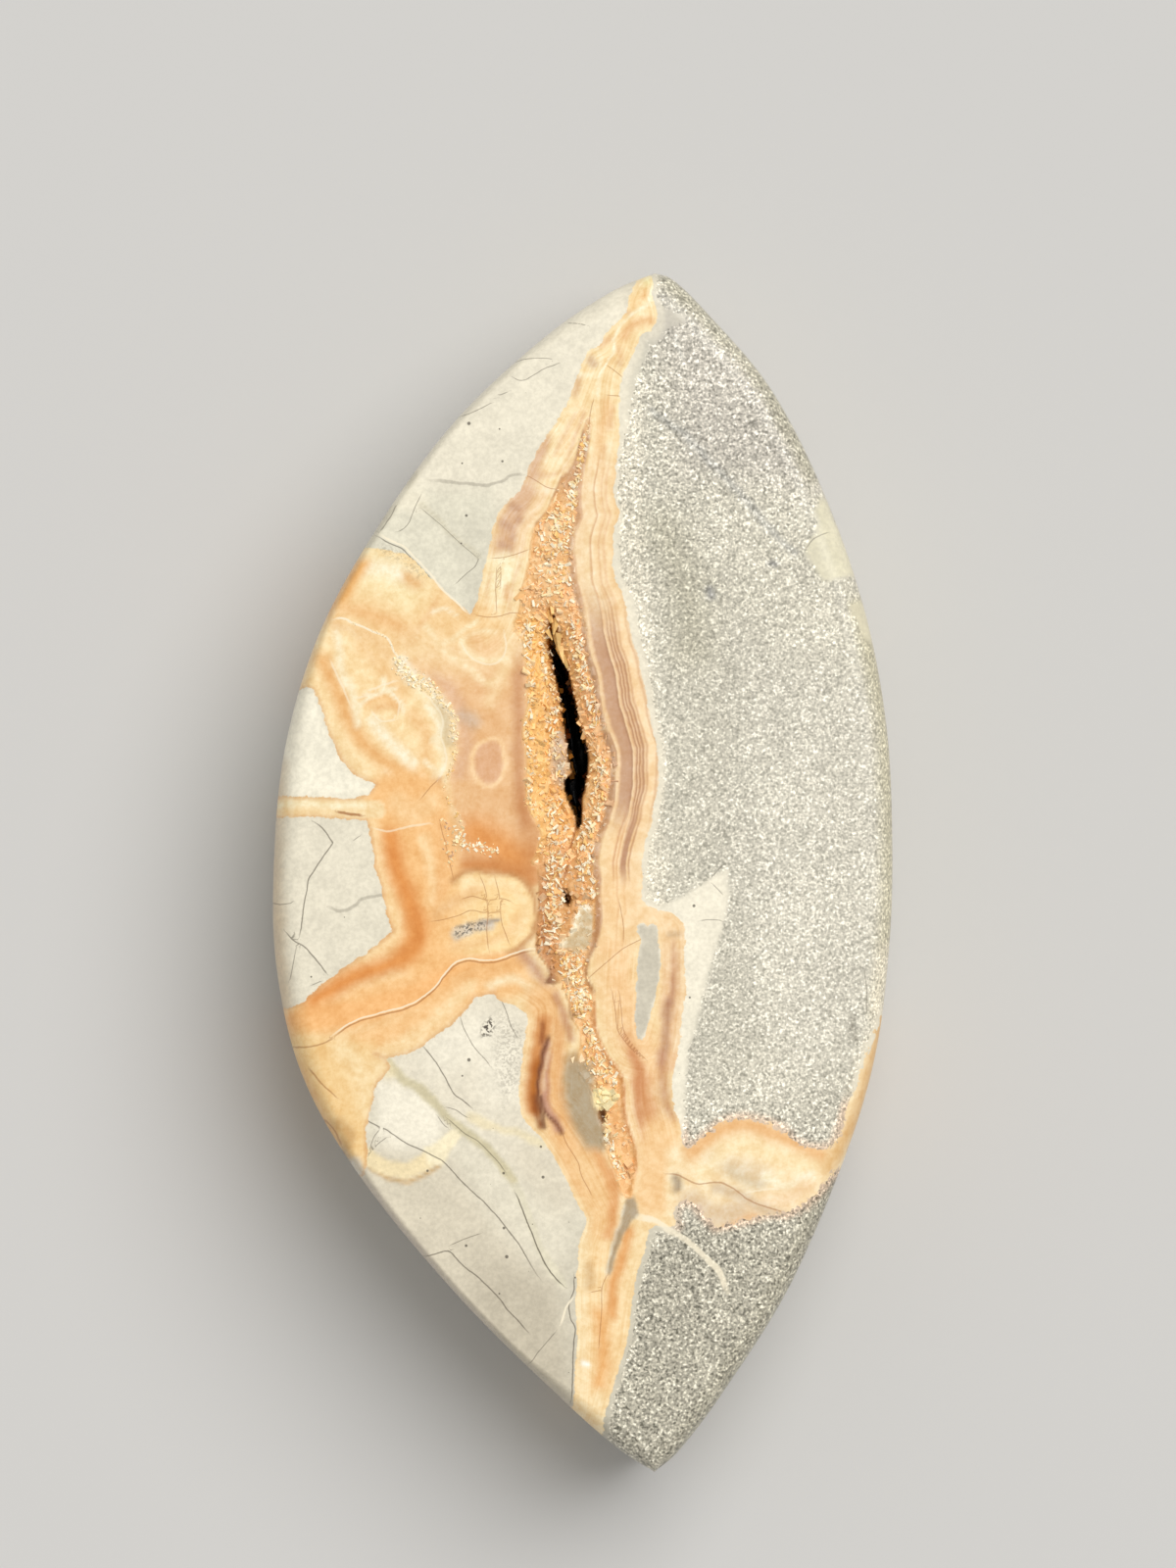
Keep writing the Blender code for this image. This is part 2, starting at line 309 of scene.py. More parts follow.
LOWER_RIGHT_MASS = [
    (100, 108), (88.5, 115.5), (87, 117), (86.6, 117.8), (86.2, 118.8), (84.8, 120), (83.6, 121.4),
    (82.2, 122.6), (80.2, 123.7), (78.5, 123.6), (76.5, 124.2), (74.5, 124.7), (73, 125), (71.8, 123.7),
    (70.6, 122.3), (69.3, 122.5), (68.6, 124), (69, 125), (68, 125.2), (66.8, 125), (66.2, 125.5),
    (66, 127), (65.2, 129.2), (64.6, 132), (64.1, 135.5), (63.9, 137), (63.2, 139.5), (62.4, 141.8),
    (61.7, 144.5), (61.6, 146), (61.8, 147.5), (62, 160), (100, 160)]
# A sliver of mudstone caught in the right-hand limb of the vein
INCLUSION = [
    (65.1, 94.2), (65.5, 94.1), (66, 94.5), (66.6, 94.1), (67, 94.5), (67.2, 95.5), (67.3, 97),
    (67.3, 98.5), (67.2, 100), (67, 101.5), (66.6, 102.7), (66.2, 104), (65.9, 105.2), (65.5, 106.1),
    (65, 106), (64.8, 104.5), (64.8, 103), (64.9, 101), (65, 99), (65.2, 97), (65.3, 96), (65.1, 95)]

# The open crack runs down the middle of the vein, between these two edges
DRUSE_LEFT = [
    (59.8, 42.8), (59.4, 44), (59.1, 45.2), (58.8, 46.4), (58.5, 47.4), (58, 48.2), (57.2, 48.7),
    (56.8, 49.7), (56.2, 51), (55.8, 52), (55.2, 52.7), (54.5, 53.5), (54.2, 54.5), (54, 56), (53.9, 57.5),
    (53.5, 59), (53, 60.5), (53, 62), (52.4, 63.5), (52.5, 64.5), (53.3, 65.5), (53.4, 66.8), (53.7, 68.5),
    (53.7, 70), (53.8, 72), (53.4, 73.5), (53.2, 75), (53.6, 76.5), (53.7, 78.5), (53.6, 80), (53.6, 81.5),
    (54.1, 83), (54.6, 83.8), (55.2, 85), (54.9, 86.2), (54.6, 87.2), (54, 88), (54.8, 88.5), (54.9, 90),
    (54.9, 92), (54.8, 94), (54.7, 95.5), (54.5, 96.5), (54.9, 97.5), (55.8, 98.5), (56, 99.5),
    (55.5, 100.2), (56.5, 100.5), (57.2, 100.2), (57.6, 101.2), (58, 102.5), (58.2, 103.8), (59, 105),
    (59.2, 106.2), (59, 107.2), (58.8, 108), (59, 109.5), (59.7, 110.4), (60.2, 111.5), (60.6, 112.8),
    (61, 114), (61.3, 115.2), (61.2, 116.5), (61.7, 117.2), (62.2, 118.5), (62.7, 119.5), (63, 120.7),
    (63.3, 121.8), (63.8, 122.2)]
DRUSE_RIGHT = [
    (64.5, 122.2), (64.8, 120.5), (65, 119.5), (65.1, 118), (64.8, 116.5), (64.3, 115.2), (64, 114),
    (63.8, 112.5), (63.8, 111), (63.6, 109.8), (63, 108.7), (62.2, 107.8), (61.6, 106.8), (61.1, 105.5),
    (60.8, 104), (60.8, 102.5), (60.7, 101), (60.1, 100), (60, 99), (60.2, 97.8), (60.8, 96.5),
    (61.1, 95.5), (61.4, 94), (61.3, 92.5), (61.3, 90.5), (61.1, 89), (61, 87.5), (61.2, 86.5), (61.6, 85),
    (62.1, 83.8), (62.5, 82), (62.8, 80), (62.9, 78), (62.8, 76.8), (62.4, 75.8), (62, 74.5), (61.8, 73.5),
    (61.4, 72.5), (61.2, 71), (61, 69.5), (60.6, 68.2), (60.2, 66.8), (60, 65), (59.9, 63.5), (59.6, 62.2),
    (59.2, 60.8), (58.8, 59.5), (58.7, 58), (58.6, 56.5), (58.6, 55), (59, 53.8), (59.4, 52.8),
    (59.2, 51.5), (59.2, 50), (59.4, 48.8), (59.7, 47.5), (60, 46.2), (60.2, 44.8), (60.4, 43.5),
    (60.2, 42.5)]
VUG_MOUTH = [
    (55.9, 62.2), (56.2, 64), (56.1, 66), (56.6, 68.5), (57, 70), (57.2, 71.5), (57.4, 73), (57.8, 75),
    (57.9, 76.2), (58.1, 77.8), (58.5, 78.9), (57.6, 79.6), (57.6, 80.5), (58, 81.6), (58.4, 82.4),
    (58.8, 83.4), (59.0, 84.8), (59.3, 84.2), (59.4, 82.8), (59.3, 81.8), (59.7, 80.4), (59.9, 79),
    (60.1, 77.5), (59.9, 76.2), (59.5, 75), (59.1, 73.5), (58.8, 72), (58.4, 70.6), (58.1, 69.2),
    (57.8, 67.6), (57.1, 66.4), (56.9, 65), (56.7, 63.4), (56.4, 62.2)]


def nearest_on(places, route):
    """Distance to a route, the side of it that each place is on, and the share along it."""
    best = np.full(len(places), np.inf)
    side = np.ones(len(places))
    along = np.zeros(len(places))
    count = len(route) - 1
    for number in range(count):
        step = route[number + 1] - route[number]
        reach = places - route[number]
        share = np.clip(reach @ step / (step @ step + 1e-12), 0.0, 1.0)
        gap = reach - share[:, None] * step
        distance = np.hypot(gap[:, 0], gap[:, 1])
        closer = distance < best
        cross = step[0] * reach[:, 1] - step[1] * reach[:, 0]
        side = np.where(closer, np.where(cross < 0.0, -1.0, 1.0), side)
        along = np.where(closer, (number + share) / count, along)
        best = np.where(closer, distance, best)
    return best, side, along


def inside(places, outline):
    """Whether each place is inside a closed outline."""
    odd = np.zeros(len(places), dtype=bool)
    for first, second in zip(outline, np.roll(outline, -1, axis=0)):
        spans = (first[1] > places[:, 1]) != (second[1] > places[:, 1])
        rise = second[1] - first[1]
        if rise != 0.0:
            reach = (second[0] - first[0]) * (places[:, 1] - first[1]) / rise + first[0]
            odd ^= spans & (places[:, 0] < reach)
    return odd


def depth_inside(places, outline):
    """Millimetres inside a closed outline, and less than nought outside it."""
    closed = np.array(outline + outline[:1], dtype=float)
    distance = nearest_on(places, closed)[0]
    return np.where(inside(places, closed[:-1]), distance, -distance)


mudstone = np.max([depth_inside(spots, block) for block in
                   (UPPER_LEFT_MUD, LEFT_WEDGE, LEFT_BLOCK, LOWER_LEFT_MUD, RIGHT_MASS,
                    LOWER_RIGHT_MASS, INCLUSION)], axis=0)
calcite = -mudstone
druse = depth_inside(spots, DRUSE_LEFT + DRUSE_RIGHT)
vug = depth_inside(spots, VUG_MOUTH)

# Relief of the open crack
# The face is polished flat except in the crack: its left side slopes down as a rough ledge, its
# right side is steeper, and between them a narrow black hole goes 12 mm down, without coming out.
VUG_DEPTH = 11.6
LEDGE_DEPTH = 2.3
RIGHT_LEDGE_DEPTH = 1.2
HOLE_LIP_DEPTH = 1.6
SMALL_HOLE_DEPTH = 2.6
LOWEST_HOLE_DEPTH = 1.2
CRYSTAL_BED_DEPTH = 0.2
CRYSTAL_BED_ROUGHNESS = 0.16
SMALL_HOLE = [(57.3, 90.7), (57.6, 90.4), (57.9, 91.2), (58.3, 91.6), (58.1, 92.4), (57.6, 92.2)]
LOWEST_HOLE = [(61.1, 113.2), (61.8, 113.2), (61.9, 113.9), (61.6, 114.7), (61.2, 114.2)]
on_face = ease(-2.4, -0.8, -depth)
middle_of_vug = np.interp(spot_down, [62, 70, 79, 84, 88], [56.3, 57.7, 59.1, 59.1, 58.2])
ledge_span = ease(60.5, 66.0, spot_down) * (1.0 - ease(84.0, 90.0, spot_down))
ledge_share = np.clip(druse / np.maximum(druse - np.minimum(vug, 0.0), 1e-3), 0.0, 1.0)
left_of_vug = ease(0.3, -0.3, spot_across - middle_of_vug)
ledge_depth = RIGHT_LEDGE_DEPTH + (LEDGE_DEPTH - RIGHT_LEDGE_DEPTH) * left_of_vug
sunk = ledge_depth * ledge_span * ledge_share ** 1.6
hole_depth = HOLE_LIP_DEPTH
hole_depth += (VUG_DEPTH - LEDGE_DEPTH - HOLE_LIP_DEPTH) * ease(65.0, 69.0, spot_down)
sunk += hole_depth * ease(-0.12, 0.28, vug)
roughness = np.array([noise.fractal(Vector((place[0] * 1.6, place[1] * 1.6, 3.1)), 0.8, 2.2, 4)
                      for place in spots])
sunk += ease(0.1, 0.6, druse) * (CRYSTAL_BED_DEPTH + CRYSTAL_BED_ROUGHNESS * roughness)
sunk += SMALL_HOLE_DEPTH * ease(-0.1, 0.3, depth_inside(spots, SMALL_HOLE))
sunk += LOWEST_HOLE_DEPTH * ease(-0.1, 0.3, depth_inside(spots, LOWEST_HOLE))
skin[:, 2] -= sunk * on_face * MM
for vertex, place in zip(stone_bmesh.verts, skin):
    vertex.co = place

# Colours of the mudstone
# Fine grey-cream limestone mud, weathered paler along its veins. The whole right side is crowded
# with fine grains of pyrite, which stop short of the veins and of one pale wedge.
POLISH_HAZE = 0.014


def colour(red, green, blue):
    """A colour as a screen shows it, turned into the light that the stone gives back.

    The polish adds a little white light of its own, so that much is taken off again.
    """
    screen = np.array((red, green, blue)) / 255.0
    light = np.where(screen <= 0.04045, screen / 12.92, ((screen + 0.055) / 1.055) ** 2.4)
    return np.maximum(light - POLISH_HAZE, 0.001)


def cover_with(field, tint, cover):
    """Lay a tint over a field of colours, as far as the cover says."""
    field += (tint - field) * np.clip(cover, 0.0, 1.0)[:, None]


# Every band and area of colour is drawn a little ragged, by fine and broad noise of this size in
# millimetres. A route is cut into this many steps between its points.
RAGGED = 0.2
FINE_RAGGED_SCALE = 0.9
BROAD_RAGGED_SCALE = 0.3
LINE_STEPS = 3
painted = spots + np.array([
    (noise.noise_vector(Vector((*place * FINE_RAGGED_SCALE, 5.0))) * RAGGED
     + noise.noise_vector(Vector((*place * BROAD_RAGGED_SCALE, 8.0))) * RAGGED)[:2]
    for place in spots])


def along(width, softness, route, strength=1.0):
    """How far a soft-edged band along a route covers the stone; widths are in millimetres."""
    run = smooth_route(route, LINE_STEPS)
    reach = width / 2 + softness
    low, high = run.min(axis=0) - reach, run.max(axis=0) + reach
    near = np.all((painted > low) & (painted < high), axis=1)
    distance = nearest_on(painted[near], run)[0]
    cover = np.zeros(len(spots))
    cover[near] = strength * ease(reach, width / 2 - softness, distance)
    return cover


def within(outline, softness, strength=1.0):
    """How far a soft-edged area covers the stone."""
    return strength * ease(-softness, softness, depth_inside(painted, outline))


def stroke(field, tint, width, softness, route, strength=1.0):
    """A band of colour along a route."""
    cover_with(field, tint, along(width, softness, route, strength))


def patch(field, tint, softness, outline, strength=1.0):
    """A soft-edged area of colour."""
    cover_with(field, tint, within(outline, softness, strength))


def strokes(field, rows):
    """Bands of colour in turn: each row has its colour on a screen, then what one stroke needs."""
    for tint, *row in rows:
        stroke(field, colour(*tint), *row)


def patches(field, rows):
    """Areas of colour in turn: each row has its colour on a screen, then what one patch needs."""
    for tint, *row in rows:
        patch(field, colour(*tint), *row)


mud = np.tile(colour(233, 225, 203), (len(spots), 1))
patches(mud, [
    ((238, 230, 208), 2.0, [(50, 20), (70, 20), (62, 40), (50, 52), (38, 50)]),
    ((231, 225, 203), 1.6, [(36, 50), (50, 50), (52, 60), (48, 66), (34, 58)]),
    ((222, 216, 195), 0.8, [(46, 54.5), (50.5, 52), (51, 58), (48.2, 63)]),
    ((250, 243, 221), 1.0, LEFT_WEDGE),
    ((236, 228, 206), 1.5, LEFT_BLOCK),
    ((236, 227, 205), 2.0, [(38, 104), (56, 100), (58, 122), (48, 116), (38, 112)])])
strokes(mud, [
    ((246, 238, 217), 5.0, 2.0, [(45.5, 107), (50, 106), (51.5, 110)]),
    ((229, 219, 196), 4.0, 2.0, [(54, 118), (57, 121.5)])])
patches(mud, [
    ((250, 242, 221), 0.6, [(38.5, 110.5), (42.5, 111), (45.5, 114), (44, 118), (38.5, 117)]),
    ((222, 212, 189), 2.0, [(34, 116), (46, 118.5), (56, 132), (60, 150), (50, 150)]),
    ((204, 194, 172), 3.0, [(48, 128), (57, 130), (60, 146), (58, 152), (48, 140)])])
# The first three bands follow the left outline: painted shade where the rolled rim turns away from the
# light
strokes(mud, [
    ((223, 203, 172), 1.4, 0.8, [(28.6, 78), (28.1, 88), (28.4, 98), (29.4, 104)]),
    ((214, 205, 180), 1.2, 0.7, [(42, 48.5), (38, 54), (35, 59)]),
    ((214, 200, 184), 1.2, 0.6, [(37, 121), (42, 127), (47, 133), (53, 139.5), (58, 144)]),
    ((244, 236, 212), 2.2, 0.7, [(40.5, 50.8), (42.5, 51.2)])])

PYRITIC_SIDE = [(64, 20), (110, 20), (110, 160), (60, 160), (62, 120), (68, 112), (68, 90), (66, 60)]
PALE_WEDGE = [
    (65.0, 92.3), (66.8, 92.8), (69.5, 91.5), (71.2, 90.5), (74.2, 88.5), (74.4, 91), (74, 93.5),
    (73.2, 96), (72.4, 99), (71.6, 102), (70.8, 105.5), (70.3, 107), (70, 110), (69.9, 113.5), (69.6, 116),
    (67, 114), (66, 100)]
OLIVE_PATCH = [
    (83.1, 52.5), (84, 50.5), (84.8, 51.2), (85.6, 53.5), (90, 54), (90, 58), (85.8, 59), (85, 59.4),
    (84, 59.2), (83.2, 58), (82.2, 56.7), (82.2, 55.8), (82.9, 54.8), (83.5, 54)]
SECOND_PATCH = [(86.5, 61.8), (87.8, 64), (88.5, 65.2), (91, 65.5), (91, 61.2), (88, 61.2)]
near_fin = ease(67.5, 70.0, spot_across) * ease(110.5, 113.0, spot_down)
pyrite = np.maximum(depth_inside(spots, RIGHT_MASS), depth_inside(spots, LOWER_RIGHT_MASS))
plain_width = np.interp(spot_down, (30, 34, 39, 42, 44, 46, 53, 55, 60, 62, 66, 72, 92),
                        (0.5, 1.2, 1.4, 1.2, 0.6, 0.3, 0.3, 0.6, 0.7, 1.0, 0.7, 0.5, 0.5))
pyrite = pyrite - plain_width * (1.0 - near_fin)
TOP_PATCH = [(66.3, 31.8), (68.2, 31.6), (70, 32.2), (70, 32.9), (68.2, 33.5), (66.6, 34.4), (65, 35)]
for plain in (PALE_WEDGE, OLIVE_PATCH, SECOND_PATCH, TOP_PATCH):
    pyrite = np.minimum(pyrite, -depth_inside(spots, plain))
patches(mud, [
    ((212, 206, 187), 1.0, PYRITIC_SIDE),
    ((221, 215, 197), 5.0, [(76, 66), (94, 70), (94, 105), (80, 110), (74, 90)]),
    ((191, 185, 166), 4.0, [(60, 126), (90, 119), (88, 150), (60, 160)]),
    ((206, 199, 184), 3.0, [(66, 30), (78, 36), (84, 50), (70, 48)])])
# The three long bands that follow the right-hand outline are painted shade where the rolled rim turns away
# from the light
strokes(mud, [
    ((194, 188, 166), 4.0, 2.5, [(67.5, 54), (70, 60), (70.5, 66)], 0.9),
    ((184, 182, 173), 0.6, 0.5, [(66.5, 42), (68, 43.2), (70, 44.5), (71.5, 46.2), (76, 51), (78, 53.5),
        (81, 56.5)], 0.8),
    ((240, 236, 222), 0.3, 0.3, [(72.2, 32.5), (74.5, 34.5)], 0.8),
    ((240, 236, 222), 0.3, 0.3, [(69, 34.5), (69.5, 36.5)], 0.8),
    ((184, 178, 154), 2.2, 1.0, [(68.7, 28.5), (72.1, 31.8), (78.6, 39.5), (83, 48)], 0.7),
    ((196, 188, 156), 2.2, 1.0, [(88.2, 62), (90.5, 74), (91.1, 86), (90.8, 96.5)], 0.7),
    ((178, 172, 152), 3.0, 1.0, [(86.3, 118), (80.5, 131.5), (73.9, 142), (69, 149)], 0.8)])
patches(mud, [
    ((224, 217, 190), 0.3, OLIVE_PATCH),
    ((220, 212, 184), 0.3, SECOND_PATCH)])
strokes(mud, [
    ((232, 226, 206), 1.4, 0.5, [(83.3, 64.5), (84.6, 64.5)], 0.8),
    ((236, 226, 200), 1.6, 0.8, [(90.5, 97), (90, 100.5), (89.6, 103.5)], 0.9),
    ((150, 148, 142), 0.5, 0.3, [(78.6, 57.5), (79.2, 57.7)]),
    ((160, 158, 152), 0.7, 0.4, [(72.4, 60.2), (72.6, 60.9)]),
    ((150, 144, 128), 0.4, 0.3, [(87, 103.5), (87.2, 106)])])
cover_with(mud, colour(232, 200, 170), 0.7 * near_fin * ease(1.1, 0.2, mudstone))
halo = ease(1.1, 0.5, mudstone) * ease(-0.5, 0.0, mudstone) * (1.0 - near_fin)
halo *= ease(62.0, 62.5, spot_across) * ease(0.0, 0.5, depth_inside(spots, PYRITIC_SIDE) + 3.0)
halo *= 1.0 - 0.6 * ease(120.0, 126.0, spot_down) - 0.5 * ease(56.0, 48.0, spot_down)
cover_with(mud, colour(239, 230, 207), halo)
patches(mud, [
    ((247, 239, 217), 0.4, PALE_WEDGE),
    ((210, 202, 182), 0.2, INCLUSION)])

# Colours of the calcite
# It grew inwards from both walls of the crack in bands of peach, cream, orange and purple-brown.
peach = np.tile(colour(250, 222, 172), (len(spots), 1))

# The top of the vein, with its nested bands
strokes(peach, [
    ((252, 228, 180), 6.0, 2.0, [(67, 26), (65, 32), (62, 38), (60, 44), (57, 48)]),
    ((250, 218, 164), 1.2, 0.9, [(64.6, 31), (63, 35), (62, 37)]),
    ((238, 194, 140), 0.7, 0.4, [(66.4, 32.7), (65.2, 32.9), (64.2, 33.6), (63.6, 34.4)]),
    ((236, 196, 146), 0.7, 0.3, [(61.4, 35.2), (62.2, 34.6)]),
    ((240, 202, 152), 0.5, 0.3, [(63.2, 35.6), (63.4, 36.6)]),
    ((238, 196, 150), 0.9, 0.4, [(62.3, 41.8), (62.1, 43.4)], 0.8),
    ((236, 194, 150), 0.5, 0.35, [(61.7, 45.6), (61.3, 48.4), (61.6, 51)]),
    ((255, 240, 202), 0.4, 0.3, [(62.3, 45), (62.2, 48), (62.4, 51)]),
    ((240, 196, 138), 0.5, 0.3, [(66, 29.8), (65.7, 30.4)]),
    ((232, 196, 152), 0.4, 0.3, [(64.2, 31.9), (64.5, 32.1)]),
    ((222, 194, 158), 0.8, 0.35, [(60.3, 36.7), (60.7, 37.1)]),
    ((226, 190, 146), 0.6, 0.4, [(59.2, 38.6), (58.7, 40.4)]),
    ((232, 198, 152), 0.4, 0.3, [(63.1, 37), (63.3, 37.3)]),
    ((255, 246, 194), 0.7, 0.4, [(66.2, 28.4), (66.2, 29)]),
    ((255, 246, 212), 0.25, 0.2, [(66.5, 29.4), (66.2, 31), (65, 31.8), (64, 32.6), (63, 33.8),
        (62.7, 34.8), (62.8, 35.8), (62.2, 36.8), (61.6, 37.7), (61.2, 38.8), (61, 40.4)]),
    ((255, 242, 204), 0.3, 0.2, [(59.2, 38.3), (60.2, 38.2), (61.2, 38.6)]),
    ((255, 242, 204), 0.3, 0.2, [(59.6, 36), (60.6, 35.6), (61.4, 36.4), (61.2, 37.6)]),
    ((244, 204, 150), 0.9, 0.6, [(62, 41), (61.4, 44), (60.8, 48), (60.6, 53)]),
    ((251, 222, 174), 1.6, 0.7, [(59, 42), (57.6, 45), (56.5, 47.6), (55.5, 48.3)]),
    ((238, 202, 158), 0.3, 0.25, [(58.6, 42.4), (57.4, 44.8), (56.4, 46.6)]),
    ((236, 198, 154), 0.3, 0.25, [(59.6, 42.2), (58.5, 45), (57.7, 47.2), (56.4, 48.5), (54.6, 48.4)]),
    ((226, 188, 152), 1.4, 0.7, [(56, 45.2), (54.7, 47), (54.4, 48.6)]),
    ((254, 234, 190), 0.7, 0.4, [(58.3, 42), (57, 44.4), (56, 46.4), (56.3, 47.8), (57.4, 47)]),
    ((228, 190, 154), 2.6, 0.8, [(53.6, 50.4), (52.2, 53), (51.7, 56)])])
for place in ((52, 51.5), (52.8, 53), (51.3, 53.4), (52.4, 54.8), (51.2, 55.6)):
    stroke(peach, colour(200, 158, 130), 0.7, 0.4, [place, (place[0] + 0.7, place[1] + 0.4)], 0.7)
strokes(peach, [
    ((250, 220, 178), 1.0, 0.5, [(55.8, 50), (54.6, 52.4), (53.4, 54), (53, 56.4)]),
    ((255, 240, 198), 3.2, 0.8, [(51.5, 58), (50.7, 61), (50.5, 64)]),
    ((238, 198, 150), 0.6, 0.3, [(51.7, 59.8), (51.7, 61.2)]),
    ((240, 204, 158), 0.3, 0.25, [(52.9, 57.5), (52.2, 60), (51.9, 63)]),
    ((240, 204, 158), 0.25, 0.2, [(50, 58.5), (49.6, 61), (49.4, 63)])])

# The rounded upper-left lobes
strokes(peach, [
    ((249, 212, 156), 10.0, 2.0, [(32, 62), (38, 62), (43, 64), (48, 66)]),
    ((254, 234, 184), 4.4, 1.8, [(35, 58.4), (38, 58.2), (41.5, 60)]),
    ((255, 244, 212), 1.4, 1.2, [(37, 57.8), (39.5, 58), (41, 59)]),
    ((237, 190, 132), 1.2, 0.8, [(41.6, 59), (42.4, 59.6)]),
    ((240, 184, 116), 1.4, 0.7, [(31, 69), (32.2, 66), (34, 62.6), (37, 57.5)]),
    ((243, 194, 134), 1.4, 0.8, [(34.2, 62.4), (37.4, 62.8), (40, 63.6), (42, 65)]),
    ((255, 226, 174), 8.6, 1.2, [(34, 67), (37, 71), (40, 75), (42, 78), (42, 81)]),
    ((240, 186, 122), 1.4, 0.8, [(33, 67.5), (34.5, 70.5), (35.4, 73), (37, 75.6), (39, 77.6),
        (41.2, 78.8)]),
    ((255, 240, 204), 0.7, 0.5, [(34.2, 64.4), (34.5, 66), (34.8, 68.4), (35.8, 70.4), (36.2, 72.2),
        (36.5, 74)]),
    ((255, 238, 200), 0.35, 0.25, [(33.8, 63.6), (35.4, 64.2), (37, 65.6), (38.2, 67.6)], 0.7),
    ((248, 202, 142), 1.2, 0.7, [(37.5, 71.5), (39, 71), (40.6, 71.7)]),
    ((246, 204, 146), 1.6, 0.8, [(37, 66), (39, 68), (41, 70.5)], 0.8),
    ((255, 240, 206), 1.3, 0.55, [(38.2, 73.6), (39.4, 75.2), (40.6, 76.4), (42, 77.8)]),
    ((255, 236, 192), 1.0, 0.6, [(42.5, 69.8), (44.4, 72), (45.3, 74), (45.2, 77)], 0.8),
    ((243, 194, 134), 1.2, 0.7, [(42.2, 73), (43.6, 75), (43.4, 78), (42.6, 80)], 0.7),
    ((238, 184, 124), 0.7, 0.35, [(38.4, 72.3), (39.6, 72), (40.6, 72.3)], 0.6),
    ((255, 240, 204), 0.4, 0.25, [(36.2, 72.4), (37.4, 71.2), (38.8, 70.6), (40.4, 70.2)]),
    ((255, 242, 206), 0.4, 0.25, [(39.2, 69.2), (39.8, 70.6), (40.8, 71.6), (41.2, 72.6)]),
    ((255, 240, 204), 0.4, 0.25, [(43.2, 79.2), (42.6, 80.2), (41.8, 81), (41.2, 82)]),
    ((255, 238, 200), 0.4, 0.25, [(43.4, 77.6), (44.4, 78.6), (44, 79.8)]),
    ((240, 196, 142), 0.5, 0.3, [(44.5, 61.5), (43.6, 63), (42.4, 65)], 0.7),
    ((255, 238, 196), 0.45, 0.3, [(43.6, 64), (44.7, 65.6), (46.2, 65.2), (47.4, 64.2), (48.6, 63.4)]),
    ((255, 236, 194), 0.4, 0.3, [(47.3, 65.6), (48.2, 64.8), (49.4, 64.4), (50.6, 64.6)]),
    ((255, 240, 206), 0.3, 0.25, [(44.2, 62.6), (45.4, 62.2), (46.6, 62.8)]),
    ((240, 196, 140), 1.0, 0.6, [(34, 63.6), (36.4, 64.4), (38.4, 65.4), (39.6, 67)], 0.6),
    ((255, 240, 204), 0.5, 0.4, [(43.6, 72), (44.8, 73.6), (45, 74.8), (44.4, 75.4)]),
    ((255, 240, 204), 0.5, 0.4, [(44.4, 75.4), (45.3, 76.6), (45.3, 78), (44.6, 79.4)]),
    ((255, 240, 208), 0.5, 0.4, [(42.4, 81), (42.2, 82.6), (41.8, 84.4)]),
    ((255, 236, 198), 0.5, 0.4, [(41.4, 77.4), (42.6, 79), (42.2, 81), (41.2, 82.6)], 0.7),
    ((255, 236, 198), 0.4, 0.35, [(39.4, 78.8), (40.8, 80), (42, 80.6)], 0.7),
    ((255, 232, 190), 0.4, 0.35, [(43.6, 83), (45.2, 82.6), (46, 83.2)], 0.7)])

